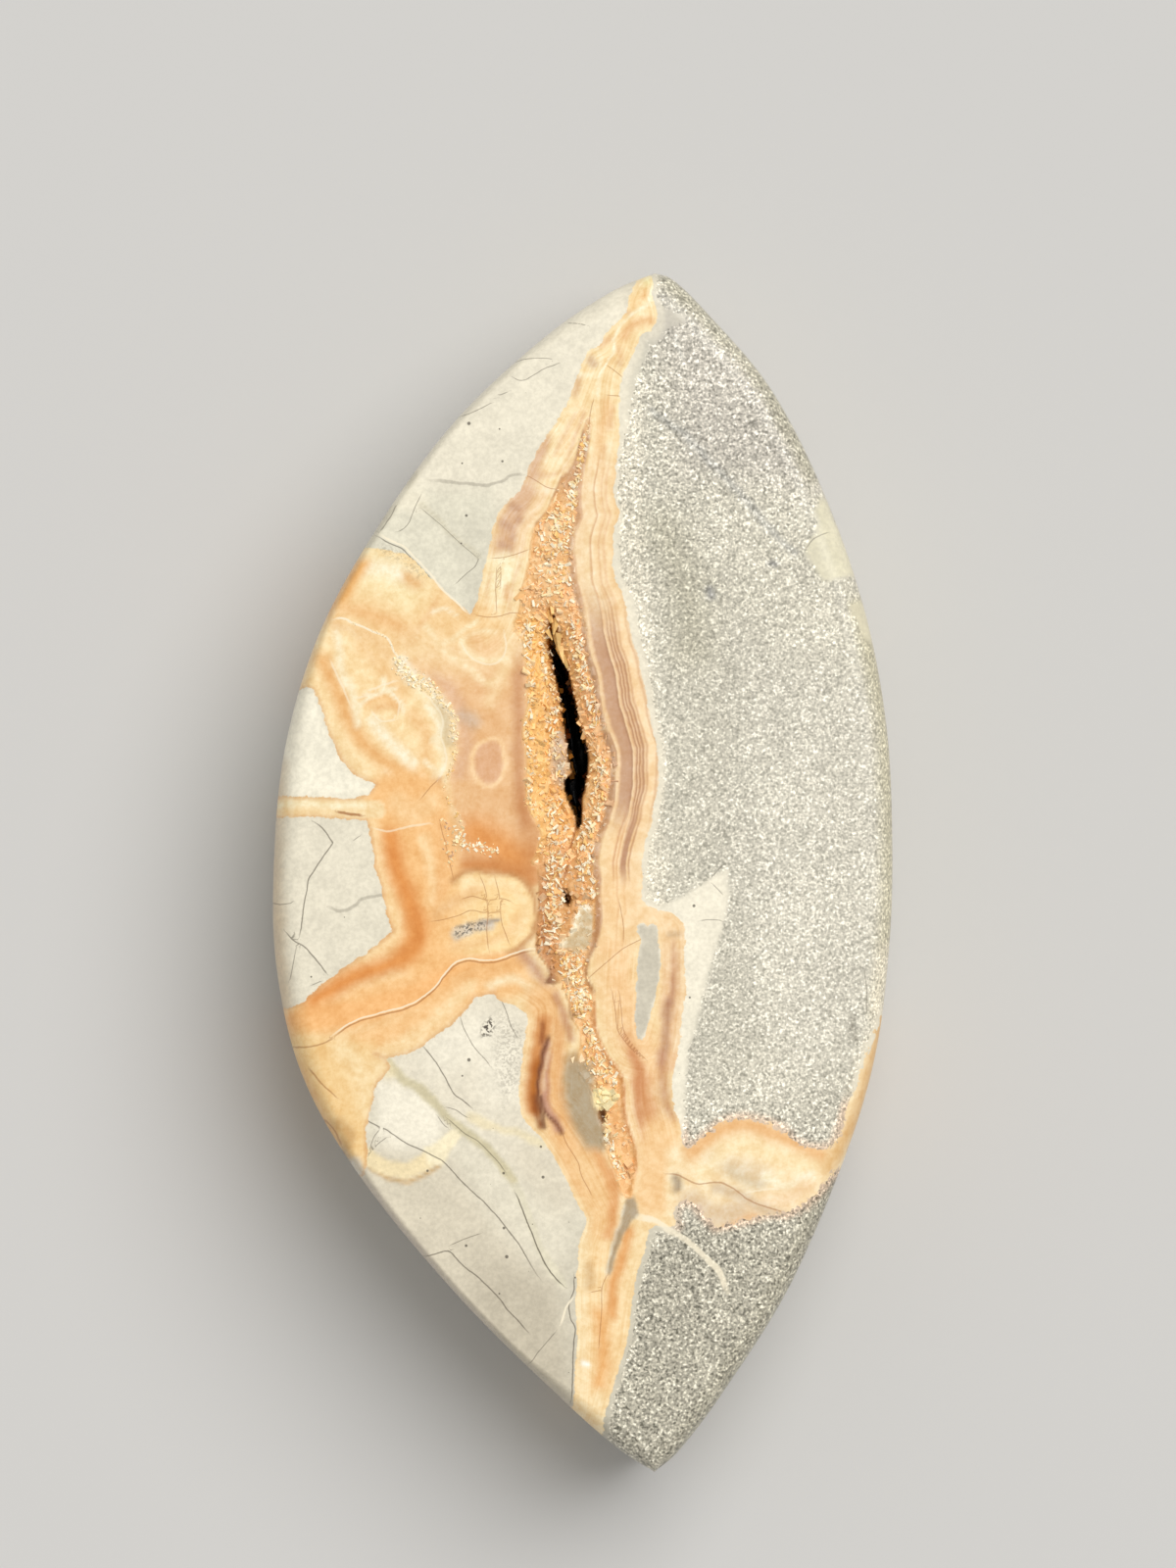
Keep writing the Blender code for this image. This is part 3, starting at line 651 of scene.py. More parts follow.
# The tan pool between the lobes and the open crack
POOL = [
    (41.3, 67.5), (43, 69), (44.7, 70.2), (45.8, 71.5), (46.5, 73.5), (46.4, 75.5), (46.6, 77),
    (46.2, 78.5), (45.8, 80), (46.1, 81.5), (46.6, 83.2), (47.3, 84.5), (48, 85.5), (46.5, 87),
    (46.2, 89.7), (48, 89), (52, 89.3), (54, 90.5), (56, 90), (56, 64.5), (50, 66), (45, 66)]
patch(peach, colour(241, 196, 145), 0.4, POOL)
strokes(peach, [
    ((238, 190, 138), 3.4, 1.4, [(50, 71), (49.5, 76), (50.5, 82)]),
    ((232, 188, 148), 1.4, 0.7, [(44.6, 69), (46.9, 71.8), (47.6, 76), (47, 79)]),
    ((232, 160, 92), 3.4, 1.6, [(48.6, 85), (51, 86.5), (53.5, 88)]),
    ((214, 142, 80), 1.4, 0.9, [(47.5, 88.2), (51, 88.5), (54, 89.5)]),
    ((214, 160, 114), 1.2, 0.6, [(53, 66), (52.9, 74), (53, 80), (53.6, 84)]),
    ((250, 218, 168), 3.4, 1.8, [(42, 66), (47, 67), (51, 66.5), (54, 65)], 0.85),
    ((255, 236, 192), 0.5, 0.35, [(47.1, 65.4), (47.6, 66.6), (48.6, 67.2), (49.8, 67.5), (51.3, 67.2)]),
    ((255, 232, 188), 0.6, 0.5, [(45.3, 66.2), (47.3, 67.8), (48.7, 69.2), (50, 69.8), (51.1, 68.9),
        (51.8, 67.3), (51.7, 64.6)]),
    ((208, 184, 160), 1.3, 0.7, [(47.3, 73), (48.4, 73.6)], 0.7),
    ((212, 190, 150), 1.2, 0.5, [(44.8, 71.6), (45.7, 73.4), (45.9, 75.6)], 0.8),
    ((226, 178, 122), 1.5, 0.5, [(44.4, 80.6), (45, 82.4), (46, 84), (46.4, 86.2)], 0.8),
    ((200, 140, 90), 0.5, 0.3, [(43.3, 81.6), (44.2, 80.6), (44.9, 79.6)], 0.7),
    ((248, 236, 208), 1.4, 0.5, [(40.9, 67.6), (42, 69), (43.2, 69.6)]),
    ((246, 230, 198), 0.7, 0.4, [(43.8, 69.9), (45.2, 71.6), (46.1, 72.8), (46.3, 75.2)], 0.8),
    ((246, 224, 184), 0.4, 0.3, [(46.5, 76.7), (46.1, 77.9), (45.4, 80.3), (46.1, 82.2), (47.2, 84.1)],
        0.8),
    ((206, 140, 84), 2.4, 1.4, [(53.6, 82), (54.2, 85.6), (54.4, 88.6)], 0.6),
    ((246, 204, 152), 1.2, 0.8, [(48.6, 65.4), (49.6, 66.4), (50.6, 65.6)]),
    ((250, 218, 168), 1.2, 0.9, [(51.5, 68), (50.8, 70), (50, 71.5)], 0.8)])
POOL_RING = [
    (48.3, 77.2), (48.6, 76.1), (49.6, 75.5), (50.8, 75.7), (51.5, 76.7), (51.5, 78.4), (50.9, 79.7),
    (49.8, 80.2), (48.8, 79.7), (48.3, 78.6), (48.3, 77.2)]
patch(peach, colour(226, 176, 138), 0.3, POOL_RING[:-1], 0.7)
stroke(peach, colour(252, 214, 164), 0.45, 0.2, POOL_RING)

# The column, the band below it and the rounded lobe
strokes(peach, [
    ((249, 196, 132), 9.0, 1.0, [(41.5, 83), (42, 88), (43, 92), (43.4, 95)]),
    ((253, 218, 164), 1.6, 0.7, [(37.8, 84), (38.8, 88), (39.8, 92), (40.6, 95), (38.5, 97.6), (34, 100.6),
        (30.5, 103)]),
    ((231, 153, 82), 1.9, 1.0, [(39.8, 85.5), (40.4, 88.5), (41.4, 90.5), (42, 92.5), (42.8, 94.8),
        (42, 96.8), (40.5, 98), (38.5, 98.8), (36, 99.8), (34.5, 100.6), (32, 102.2)]),
    ((224, 146, 76), 1.0, 0.8, [(42, 94), (42.6, 95.6), (41.6, 97.2)], 0.8),
    ((253, 216, 162), 1.0, 0.6, [(43.2, 85.5), (44, 88.5), (44.3, 90.5), (44.1, 92)]),
    ((252, 210, 154), 2.2, 0.9, [(40.6, 82), (42, 83), (44, 82)]),
    ((244, 190, 128), 1.4, 0.9, [(45, 84), (45.4, 87), (45, 91), (44.6, 93.6)], 0.8),
    ((251, 189, 121), 3.2, 0.9, [(52, 98.5), (46, 99.8), (42, 101.5), (36, 103.2), (30, 104.6)], 0.9),
    ((251, 199, 136), 1.4, 0.7, [(47, 97.2), (44, 98.4), (41, 100), (36, 101.6)], 0.8),
    ((250, 202, 142), 3.0, 0.8, [(53, 100), (47, 101.5), (43, 104.3), (39, 105.8), (34, 107.5), (31, 109)]),
    ((254, 226, 176), 1.2, 0.7, [(48, 100.6), (45, 103.6), (41, 106.4), (36, 108.4)], 0.8),
    ((238, 186, 124), 0.9, 0.6, [(53.5, 97.8), (51, 98.6), (48.6, 98.8), (46.6, 100)], 0.8),
    ((205, 160, 130), 0.9, 0.7, [(53.2, 97.2), (54.5, 98.6), (55.6, 100.4), (56.6, 102)]),
    ((253, 228, 184), 0.9, 0.5, [(50, 100.6), (51.5, 100), (53, 100), (54.2, 101), (55.2, 103)]),
    ((250, 222, 172), 1.8, 0.15, [(27, 82.3), (32, 82.3), (38.4, 82.6)]),
    ((255, 240, 200), 0.6, 0.25, [(27.5, 81.9), (32, 82), (37, 82.2)])])
ROUNDED_LOBE = [
    (46.4, 89.8), (47.2, 89.3), (48.5, 89), (50, 89.3), (51.5, 89.3), (52.8, 89.7), (53.8, 90.6),
    (54.5, 92), (54.6, 93.5), (54.1, 95), (53.2, 96), (52, 96.8), (49, 97.4), (46, 97.6), (44.9, 96),
    (44.8, 92)]
stroke(peach, colour(205, 150, 96), 0.9, 0.5, ROUNDED_LOBE[:12])
from_left = ease(44.9, 49.5, spot_across)
cover_with(peach, colour(255, 221, 162), within(ROUNDED_LOBE, 0.25) * (0.15 + 0.85 * from_left))
strokes(peach, [
    ((246, 200, 142), 0.6, 0.5, [(45.4, 92.4), (47.2, 91.2), (49, 90.6)], 0.8),
    ((247, 204, 148), 0.9, 0.6, [(46.4, 96.6), (49, 96.2), (51.6, 95.4), (53, 93.6)], 0.7),
    ((255, 226, 174), 1.0, 0.6, [(47.6, 90), (51, 90), (53.3, 91.4), (53.8, 93.4), (52.8, 95.3)]),
    ((226, 208, 182), 1.1, 0.35, [(46.6, 95.4), (47.6, 94.8), (49, 94.4), (50, 94.2)]),
    ((172, 158, 142), 0.35, 0.25, [(49, 94), (50, 93.9), (50.9, 93.8)]),
    ((236, 190, 134), 1.0, 0.7, [(44.6, 93.2), (46.4, 92.2), (48.4, 91.2)], 0.7)])

# The lower-left rim with its yellow patches and the crescent
patch(peach, colour(247, 210, 150), 1.2, [(28, 105), (38, 106.5), (38, 119), (30, 118)])
strokes(peach, [
    ((253, 226, 176), 1.8, 1.2, [(35, 107), (37, 110), (37.4, 113)]),
    ((238, 186, 120), 1.0, 0.9, [(30.5, 109), (32.5, 113.5), (34.6, 117.5)]),
    ((212, 174, 120), 1.3, 0.5, [(34.6, 114.6), (35.5, 115.4), (35.6, 116.4)], 0.8),
    ((132, 116, 96), 1.1, 0.5, [(34.8, 117.6), (35.6, 118.6)]),
    ((226, 216, 196), 1.2, 0.6, [(36.4, 118.6), (37, 119.8)])])
strokes(mud, [
    ((206, 174, 126), 0.4, 0.25, [(37.6, 118.9), (39.4, 120.2), (41, 120.5), (42.8, 120.2), (44.8, 119)]),
    ((150, 134, 112), 1.2, 0.6, [(34.6, 117.4), (35.4, 118.6), (36, 119.6)], 0.8),
    ((245, 226, 182), 1.7, 0.25, [(37.6, 118), (39.4, 119.1), (41.4, 119.4), (43, 118.8), (44, 117.9)])])
patch(mud, colour(253, 240, 204), 0.2, [(43.1, 117.2), (44.8, 116.3), (47.1, 114.6), (47.4, 115.7),
    (46.4, 117), (45.2, 118.8), (43.6, 118.7)])
strokes(mud, [
    ((244, 232, 200), 0.9, 0.25, [(48, 113.7), (49, 114.2), (49.8, 114.7)]),
    ((240, 226, 190), 0.8, 0.3, [(48.2, 114), (50, 114.8), (51.5, 115.3), (53, 115.5), (54.5, 116.2),
        (55.5, 116.6)])])

# The lower limbs and the bottom of the vein
strokes(peach, [
    ((250, 210, 158), 3.5, 1.0, [(62.5, 97), (63, 101), (64.5, 105), (66, 109)]),
    ((251, 218, 168), 1.2, 0.6, [(61.6, 98), (61.8, 102), (62.8, 106), (64, 108)], 0.8),
    ((226, 168, 118), 0.8, 0.8, [(63.9, 105.6), (64.6, 107.4), (65.2, 109)]),
    ((226, 168, 118), 2.2, 1.2, [(65.4, 110.4), (65.8, 112), (66.6, 115.6)]),
    ((210, 142, 92), 0.9, 0.6, [(64.6, 107.5), (65.4, 110), (65, 113), (65.8, 116)], 0.8),
    ((252, 220, 172), 0.8, 0.4, [(63.4, 108.4), (64, 110.6), (64.2, 113), (65, 116), (65.3, 118.4)]),
    ((240, 200, 154), 2.6, 0.4, [(68.7, 94.5), (68.8, 99), (68.6, 104), (68.2, 108)]),
    ((112, 76, 56), 0.7, 0.35, [(68.4, 95.3), (69.3, 95.4)]),
    ((214, 166, 124), 0.5, 0.35, [(68.7, 96), (68.8, 98), (68.8, 100), (68.5, 102.4)]),
    ((250, 222, 180), 0.5, 0.3, [(67.9, 95.4), (68, 98), (67.9, 101)], 0.8),
    ((196, 148, 116), 0.4, 0.3, [(68.8, 96.4), (68.9, 99), (68.8, 100.8), (68.2, 102.4)], 0.8),
    ((178, 130, 100), 0.7, 0.4, [(68.3, 102.2), (67.9, 104), (67.9, 106), (67.7, 108.2)], 0.8),
    ((196, 140, 104), 0.8, 0.6, [(67.6, 107.6), (67.6, 110), (67.9, 112.2), (68.6, 114.2)], 0.8),
    ((250, 222, 180), 0.8, 0.4, [(69.6, 96), (69.7, 100), (69.4, 104), (69, 107)]),
    ((250, 210, 156), 4.0, 1.0, [(67.4, 116), (67, 119), (66.6, 122)]),
    ((244, 196, 138), 3.4, 0.9, [(55.5, 102), (56, 107), (56.3, 112), (58.4, 117), (60.4, 121)]),
    ((252, 220, 170), 1.0, 0.5, [(54.1, 104), (53.7, 108), (53.6, 111.5), (54.4, 114.4)]),
    ((214, 142, 78), 1.5, 0.5, [(55.5, 104.2), (55.3, 106), (54.9, 107.8), (54.5, 109.6), (54.3, 111.6),
        (54.5, 113)], 0.85),
    ((184, 108, 42), 0.9, 0.45, [(54.9, 108.4), (54.5, 110), (54.4, 111.8), (54.6, 113.2)]),
    ((150, 84, 36), 0.45, 0.35, [(54.5, 111.8), (54.7, 113.4), (55.3, 114.9)]),
    ((150, 84, 44), 0.5, 0.3, [(55.4, 104.3), (55.5, 105.2), (55.3, 106.4)], 0.8),
    ((204, 152, 122), 0.9, 0.4, [(56, 106.6), (55.7, 108.6), (55.6, 110.6), (55.7, 112.6), (56.4, 114),
        (57.1, 115.2)]),
    ((112, 62, 38), 0.35, 0.25, [(56, 105.8), (55.5, 107.4), (55.1, 109), (54.9, 110.8), (54.95, 112.4),
        (55.3, 113.8), (55.6, 115)]),
    ((112, 64, 44), 0.3, 0.25, [(55.2, 111.8), (55.6, 113.4), (56.3, 114.2), (57, 115), (57.4, 115.6)]),
    ((252, 220, 170), 0.3, 0.2, [(56.6, 104.6), (56.5, 106.2), (55.9, 107.8), (55.5, 109.4), (55.5, 111)],
        0.5),
    ((232, 176, 118), 0.9, 0.5, [(57, 104), (57.2, 108), (57.1, 111), (58.3, 114)], 0.7),
    ((202, 150, 110), 0.7, 0.5, [(56.8, 101.6), (57.6, 103.6), (58.3, 106)]),
    ((196, 164, 122), 2.0, 0.6, [(58.6, 108.4), (58.9, 110.6), (59.6, 112.8), (60.6, 115.4)]),
    ((150, 116, 82), 0.5, 0.4, [(59.9, 112.4), (61, 115.2), (61.4, 117)], 0.8),
    ((232, 164, 100), 1.0, 0.7, [(60.6, 117.4), (61.8, 120), (62.2, 122.4), (61.4, 125)]),
    ((247, 206, 150), 2.4, 0.9, [(59.6, 118.6), (61, 122), (60.8, 126)]),
    ((252, 220, 168), 5.0, 1.5, [(61, 129), (61.5, 136), (60.5, 142), (60, 148)]),
    ((234, 172, 108), 1.1, 0.6, [(64, 125.6), (63.4, 128), (62.6, 131), (62.4, 134)]),
    ((240, 182, 116), 1.2, 0.8, [(61.2, 134), (61.6, 138), (61.2, 141)]),
    ((208, 166, 110), 1.2, 0.5, [(60, 129.2), (60, 131)], 0.8),
    ((254, 232, 188), 1.2, 0.6, [(59.6, 124.6), (59.4, 130), (59.4, 137), (59.4, 144)], 0.8),
    ((252, 228, 182), 1.8, 0.9, [(61.2, 143), (61.2, 147), (61, 150)])])
LOWER_FILLING = [
    (64, 122.1), (64.8, 122.1), (65.2, 123.9), (64.5, 124.6), (63.7, 125.5), (63, 126.8), (62.6, 128.5),
    (62.2, 130), (61.8, 129.7), (62.1, 127.5), (62.6, 125.8), (63.3, 124), (63.8, 122.8)]
patch(peach, colour(184, 164, 134), 0.2, LOWER_FILLING)
strokes(peach, [
    ((248, 234, 204), 0.2, 0.2, [(63.8, 123), (63, 125), (62.2, 127.6), (61.8, 130)], 0.7),
    ((226, 160, 98), 0.9, 0.5, [(62.4, 119.6), (62.9, 121.6), (62.6, 123.6), (62, 126)], 0.8),
    ((255, 250, 232), 0.5, 0.3, [(59.4, 139), (59.9, 139)])])

# On the left the calcite is browner where it meets the mudstone
browner = 0.55 * ease(0.45, 0.0, calcite) * ease(53.0, 50.0, spot_across) * ease(58.0, 66.0, spot_down)
cover_with(peach, colour(214, 160, 108), browner)

# The fin that runs out to the right, with its pale heart
patch(peach, colour(254, 230, 186), 0.5, [(68, 117.5), (73, 113), (78, 113), (83, 116), (87, 110),
    (90, 102), (94, 104), (89, 117), (83, 122.5), (79, 124.5), (72, 127), (68, 124)])
strokes(peach, [
    ((240, 190, 132), 1.6, 0.8, [(70.5, 117.4), (73, 115.4), (76, 114.6), (80, 116), (83.5, 117.6)]),
    ((238, 216, 180), 2.0, 1.0, [(73, 118.4), (75.4, 119), (77.6, 120)]),
    ((214, 196, 164), 1.0, 0.8, [(74.6, 119.6), (76.4, 120.6), (77.6, 121)], 0.8),
    ((254, 232, 184), 1.4, 0.8, [(72, 119.4), (75, 116.8), (79, 117.8), (83, 119)], 0.7),
    ((255, 246, 214), 0.8, 0.35, [(78.2, 120), (79.7, 121), (80.6, 120.9), (81.8, 120.3), (82.8, 119.8)]),
    ((230, 205, 170), 2.4, 0.9, [(70.6, 122.6), (73, 124), (76, 123.4)]),
    ((249, 220, 178), 1.8, 0.8, [(77, 123), (80, 122.4), (82.4, 121)]),
    ((224, 200, 166), 1.1, 0.5, [(73, 121.2), (75.6, 122), (77.6, 123.2), (79.6, 124)]),
    ((240, 190, 140), 0.5, 0.4, [(73, 125.6), (75, 124.6), (77.2, 124)], 0.7),
    ((232, 190, 132), 1.4, 0.7, [(84.5, 119), (87.5, 114), (89.3, 108), (90.3, 103.5)]),
    ((176, 156, 128), 0.8, 0.4, [(69, 120.2), (69.2, 121.2)])])

# The right-hand limb is banded from the open crack, at nought, to the pyritic wall, at one
band = np.clip(-druse / np.maximum(calcite - druse, 1e-3), 0.0, 1.0)
right_limb = ease(56.5, 58.5, spot_across) * ease(45.0, 49.0, spot_down)
right_limb *= (1.0 - ease(93.0, 99.0, spot_down)) * (druse < 0.6) * (calcite > -1.5)

# Banding that follows the walls is strong in the limbs and faint in the lobes
banding = np.full(len(spots), 0.25)
for width, route in (
        (9.0, [(66, 28), (62, 38), (57, 46), (52, 54), (50.5, 62)]),
        (5.0, [(55.5, 102), (56, 108), (57.5, 115), (60, 121)]),
        (6.0, [(64, 98), (65, 106), (66.5, 114)]),
        (3.0, [(68.7, 94), (68.4, 108)]),
        (7.0, [(61, 122), (61.5, 132), (60.5, 146)])):
    banding = np.maximum(banding, along(width, 1.5, route))

# The open crack is honey on its left, tan on its right and amber in its hollow, with brown
# translucent calcite further down. Down the hole its colour is painted darker, as painted shade
crack_tint = np.tile(colour(238, 190, 126), (len(spots), 1))
# The dark amber band along the left lip of the hole, from (55.9, 66) down, is partly amber crystal and
# partly painted shade where the ledge drops into the hole
strokes(crack_tint, [
    ((240, 202, 156), 3.0, 1.0, [(60.4, 42), (59.5, 46), (58.7, 50), (58.6, 52)]),
    ((210, 164, 124), 0.9, 0.5, [(59.3, 44.5), (58.4, 48), (57.4, 51), (56.8, 53)]),
    ((244, 198, 142), 6.0, 1.5, [(57, 53), (56.5, 57), (56.3, 61)]),
    ((248, 214, 162), 1.2, 0.6, [(60, 54), (59.8, 58), (60.4, 61)]),
    ((244, 196, 124), 2.2, 0.6, [(54.6, 64), (54.9, 72), (54.8, 80), (55.5, 87)]),
    ((238, 184, 112), 1.4, 0.6, [(56, 73), (56.6, 80), (57.2, 86)]),
    ((255, 203, 146), 3.6, 0.8, [(59.5, 60), (60.3, 66), (61.3, 73), (62, 80), (61.4, 84)]),
    ((252, 204, 142), 1.4, 0.5, [(60.2, 75.5), (60.6, 79), (60.2, 83), (60, 87)]),
    ((206, 144, 78), 0.8, 0.4, [(55.9, 66), (56.6, 69), (56.9, 71), (57.3, 74), (57.7, 76.4)], 0.8),
    ((214, 190, 164), 1.5, 0.6, [(57.1, 75.6), (57.1, 79.4)]),
    ((226, 172, 112), 6.5, 1.5, [(57, 89), (57.5, 92), (58.4, 97)]),
    ((200, 142, 88), 2.0, 0.8, [(55, 90), (55.2, 94), (56, 98.6)]),
    ((152, 106, 74), 1.6, 0.6, [(55.4, 99.4), (56.6, 101.4), (57.8, 103.6)]),
    ((246, 196, 138), 2.4, 1.0, [(59.2, 98), (59.8, 103), (61, 108)]),
    ((248, 196, 136), 3.0, 1.0, [(61.4, 108), (62.6, 112), (63.4, 117), (64, 121.5)]),
    ((188, 146, 120), 0.7, 0.4, DRUSE_RIGHT[22:58], 0.8),
    ((160, 112, 80), 0.7, 0.4, DRUSE_RIGHT[16:27], 0.8),
    ((208, 140, 88), 0.6, 0.4, DRUSE_RIGHT[2:16], 0.8),
    ((176, 122, 84), 0.4, 0.3, DRUSE_LEFT[1:12], 0.8)])
MILKY_FAN = [
    (57, 96.6), (58.3, 95), (59, 93), (59.6, 92.4), (60.3, 93.2), (60.5, 95), (60.2, 96.6), (59, 97.4)]
patch(crack_tint, colour(220, 198, 160), 0.2, MILKY_FAN)
stroke(crack_tint, colour(250, 236, 204), 0.5, 0.25, [(57.2, 96.4), (58.4, 94.8), (59.2, 92.6), (60, 92.6)])
CREAM_BLOB = [
    (60.4, 111.6), (61, 110.6), (61.8, 111.1), (62.9, 111.2), (63.1, 112.2), (62.2, 112.9), (61.4, 113.2),
    (60.6, 112.8)]
in_crack = ease(-0.1, 0.15, druse)
cover_with(peach, crack_tint, in_crack)
stroke(peach, colour(184, 164, 132), 3.0, 0.8, [(59.2, 109.6), (59, 111.6), (59.8, 113.8), (60.8, 115.8)])
# Besides the cream lump, the two small holes are painted dark brown as painted shade inside them
patches(peach, [
    ((255, 236, 182), 0.2, CREAM_BLOB),
    ((104, 62, 34), 0.25, SMALL_HOLE),
    ((140, 96, 60), 0.25, LOWEST_HOLE)])
# The shallow hollow is amber calcite, made darker where it is deeper as painted shade; further down the
# hole the walls are painted brown and then black, as painted shade
amber_and_shade_in_hollow = ease(1.2, 2.0, sunk) * ease(68.0, 66.0, spot_down) * (vug > -0.2)
cover_with(peach, colour(196, 128, 56), amber_and_shade_in_hollow)
cover_with(peach, colour(150, 84, 30), ease(2.6, 3.6, sunk))
cover_with(peach, colour(6, 3, 1), ease(3.2, 5.0, sunk))

# Cracks and hairlines
# Fine closed cracks, dark in the mudstone and brown in the calcite, and thin pale veinlets. Each
# family keeps, for every vertex, the side and distance of its nearest line, so that the material can
# draw it finer than the mesh.
LINE_REACH = 1.5
FAR_WIDTHS = 12.0
FAR_MM = 9.0


def new_family():
    """Signed distance in half widths, plain distance in millimetres, and strength."""
    return np.tile((FAR_WIDTHS, FAR_MM, 0.0), (len(spots), 1))


def cracks(family, width, strength, *routes):
    """Add lines of one width and strength to a family, each fading out at both ends."""
    for route in routes:
        run = smooth_route(route, LINE_STEPS)
        low, high = run.min(axis=0) - LINE_REACH, run.max(axis=0) + LINE_REACH
        near = np.flatnonzero(np.all((spots > low) & (spots < high), axis=1))
        distance, side, share = nearest_on(spots[near], run)
        closer = distance < family[near, 1]
        chosen = near[closer]
        ends = ease(0.0, 0.08, share) * ease(1.0, 0.92, share)
        family[chosen, 0] = np.clip((side * distance)[closer] / (width / 2), -FAR_WIDTHS, FAR_WIDTHS)
        family[chosen, 1] = distance[closer]
        family[chosen, 2] = (strength * (0.4 + 0.6 * ends))[closer]


dark_lines = new_family()
cracks(dark_lines, 0.10, 0.55,
    [(47.1, 42.4), (48, 42.2), (50.3, 41.1)], [(50.9, 40.4), (51.9, 40)], [(52.3, 38.5), (53, 38.9),
    (53.7, 38.8), (54.5, 38.3), (55.5, 37.7), (56.3, 37.4), (57.2, 37)], [(52.5, 36.9), (53.7, 36.7),
    (55.5, 36.6), (56.3, 36.7)], [(58, 32.9), (59.2, 33.1), (60, 33.3)], [(43, 50.5), (42.5, 51.5),
    (42.1, 52.5), (41.8, 53.3), (41.2, 54), (40.6, 54.3)], [(40.5, 51.5), (40, 52.5), (39.5, 53.3),
    (38.9, 54.2)], [(49, 56.8), (48.5, 57.8), (47.8, 58.4), (46.5, 59.6)], [(36.1, 85.8), (36.8, 85.3)],
    [(30.3, 96.5), (30, 98), (29.7, 100)], [(28.1, 92), (28.7, 92.3), (29.5, 92.2), (30, 92.1)],
    [(31.8, 100.5), (32.8, 100.1)], [(38.8, 115.2), (38.2, 116), (37.8, 117.2), (37.6, 118)], [(39.5, 116),
    (38.5, 116.8), (37.8, 117.6)], [(44.7, 113.8), (45.3, 114.7), (45.7, 115)], [(47, 103.7), (47.3, 104.8),
    (47.8, 105.8), (48.3, 106.7), (48.8, 107.3), (49.5, 108), (50, 108.7)], [(51.2, 102), (51.6, 103),
    (52, 104.3), (52.5, 105.2), (52.8, 105.8)], [(45.5, 112.9), (46.5, 113.2), (47.2, 113.7), (47.8, 114)],
    [(46, 127), (47.5, 126.3), (49, 125.8)], [(56.7, 135.8), (55.5, 137.2), (54.7, 138.2), (54.1, 139)],
    [(71.5, 93.9), (72.5, 93.8), (73.7, 93.9)], [(74, 88), (72.5, 89.5)], [(72.7, 90.2), (73.7, 91.2)],
    [(88.2, 99), (88.4, 101), (88.4, 103.5)], [(82.2, 56), (83, 55), (84, 54.5), (84.5, 54.3)])
cracks(dark_lines, 0.13, 0.7,
    [(32, 83.8), (33, 84.5), (33.8, 85.7), (34, 86), (33.3, 87), (32.6, 88), (32, 89), (31.5, 89.8),
    (31.3, 91), (31, 92.5), (30.8, 94.5), (30.6, 95.5)], [(29.2, 95), (30, 96), (31, 96.5), (32.2, 97.8),
    (33, 98.8), (33.4, 99.3)], [(32, 109.8), (33.2, 110.4), (34, 111.7), (34.8, 112.6), (35.5, 113),
    (36.8, 113.7), (37.5, 114.3), (38.5, 114.8), (39.5, 115.2), (40, 115.6), (41.5, 116.6), (43, 117.2),
    (44.2, 117.9), (45.2, 118.4), (46, 119.2), (47, 120.3), (48, 121.3), (50, 123.2), (51.5, 125),
    (53, 127), (54, 128.7), (55, 130.3)], [(43.2, 106.7), (44.5, 108.3), (45.5, 110), (46.3, 111.5),
    (47.2, 112.2), (48.2, 113)], [(43.2, 128.2), (44.5, 127.9), (45.8, 127.6), (46.6, 128.4), (47.4, 129.2),
    (48.5, 130), (49.8, 131.2), (51, 132.4), (51.8, 133.6), (53, 134.8), (54, 136)], [(58.6, 130),
    (58.6, 131.5), (58.1, 133), (58.2, 134.5), (58.7, 135.5), (58.5, 138), (58.4, 141), (58.3, 143)])
cracks(dark_lines, 0.32, 0.34,
    [(44, 49.1), (46.2, 49.2), (48, 49.4), (50, 49.5), (51.2, 49.2), (52, 48.6), (52.7, 48.4),
    (53.3, 48.5)], [(33.6, 92.6), (34.5, 92.9), (35.5, 92.9), (36.3, 92.4), (37, 91.7), (38, 91.5),
    (39, 91.3), (40, 91.7)])

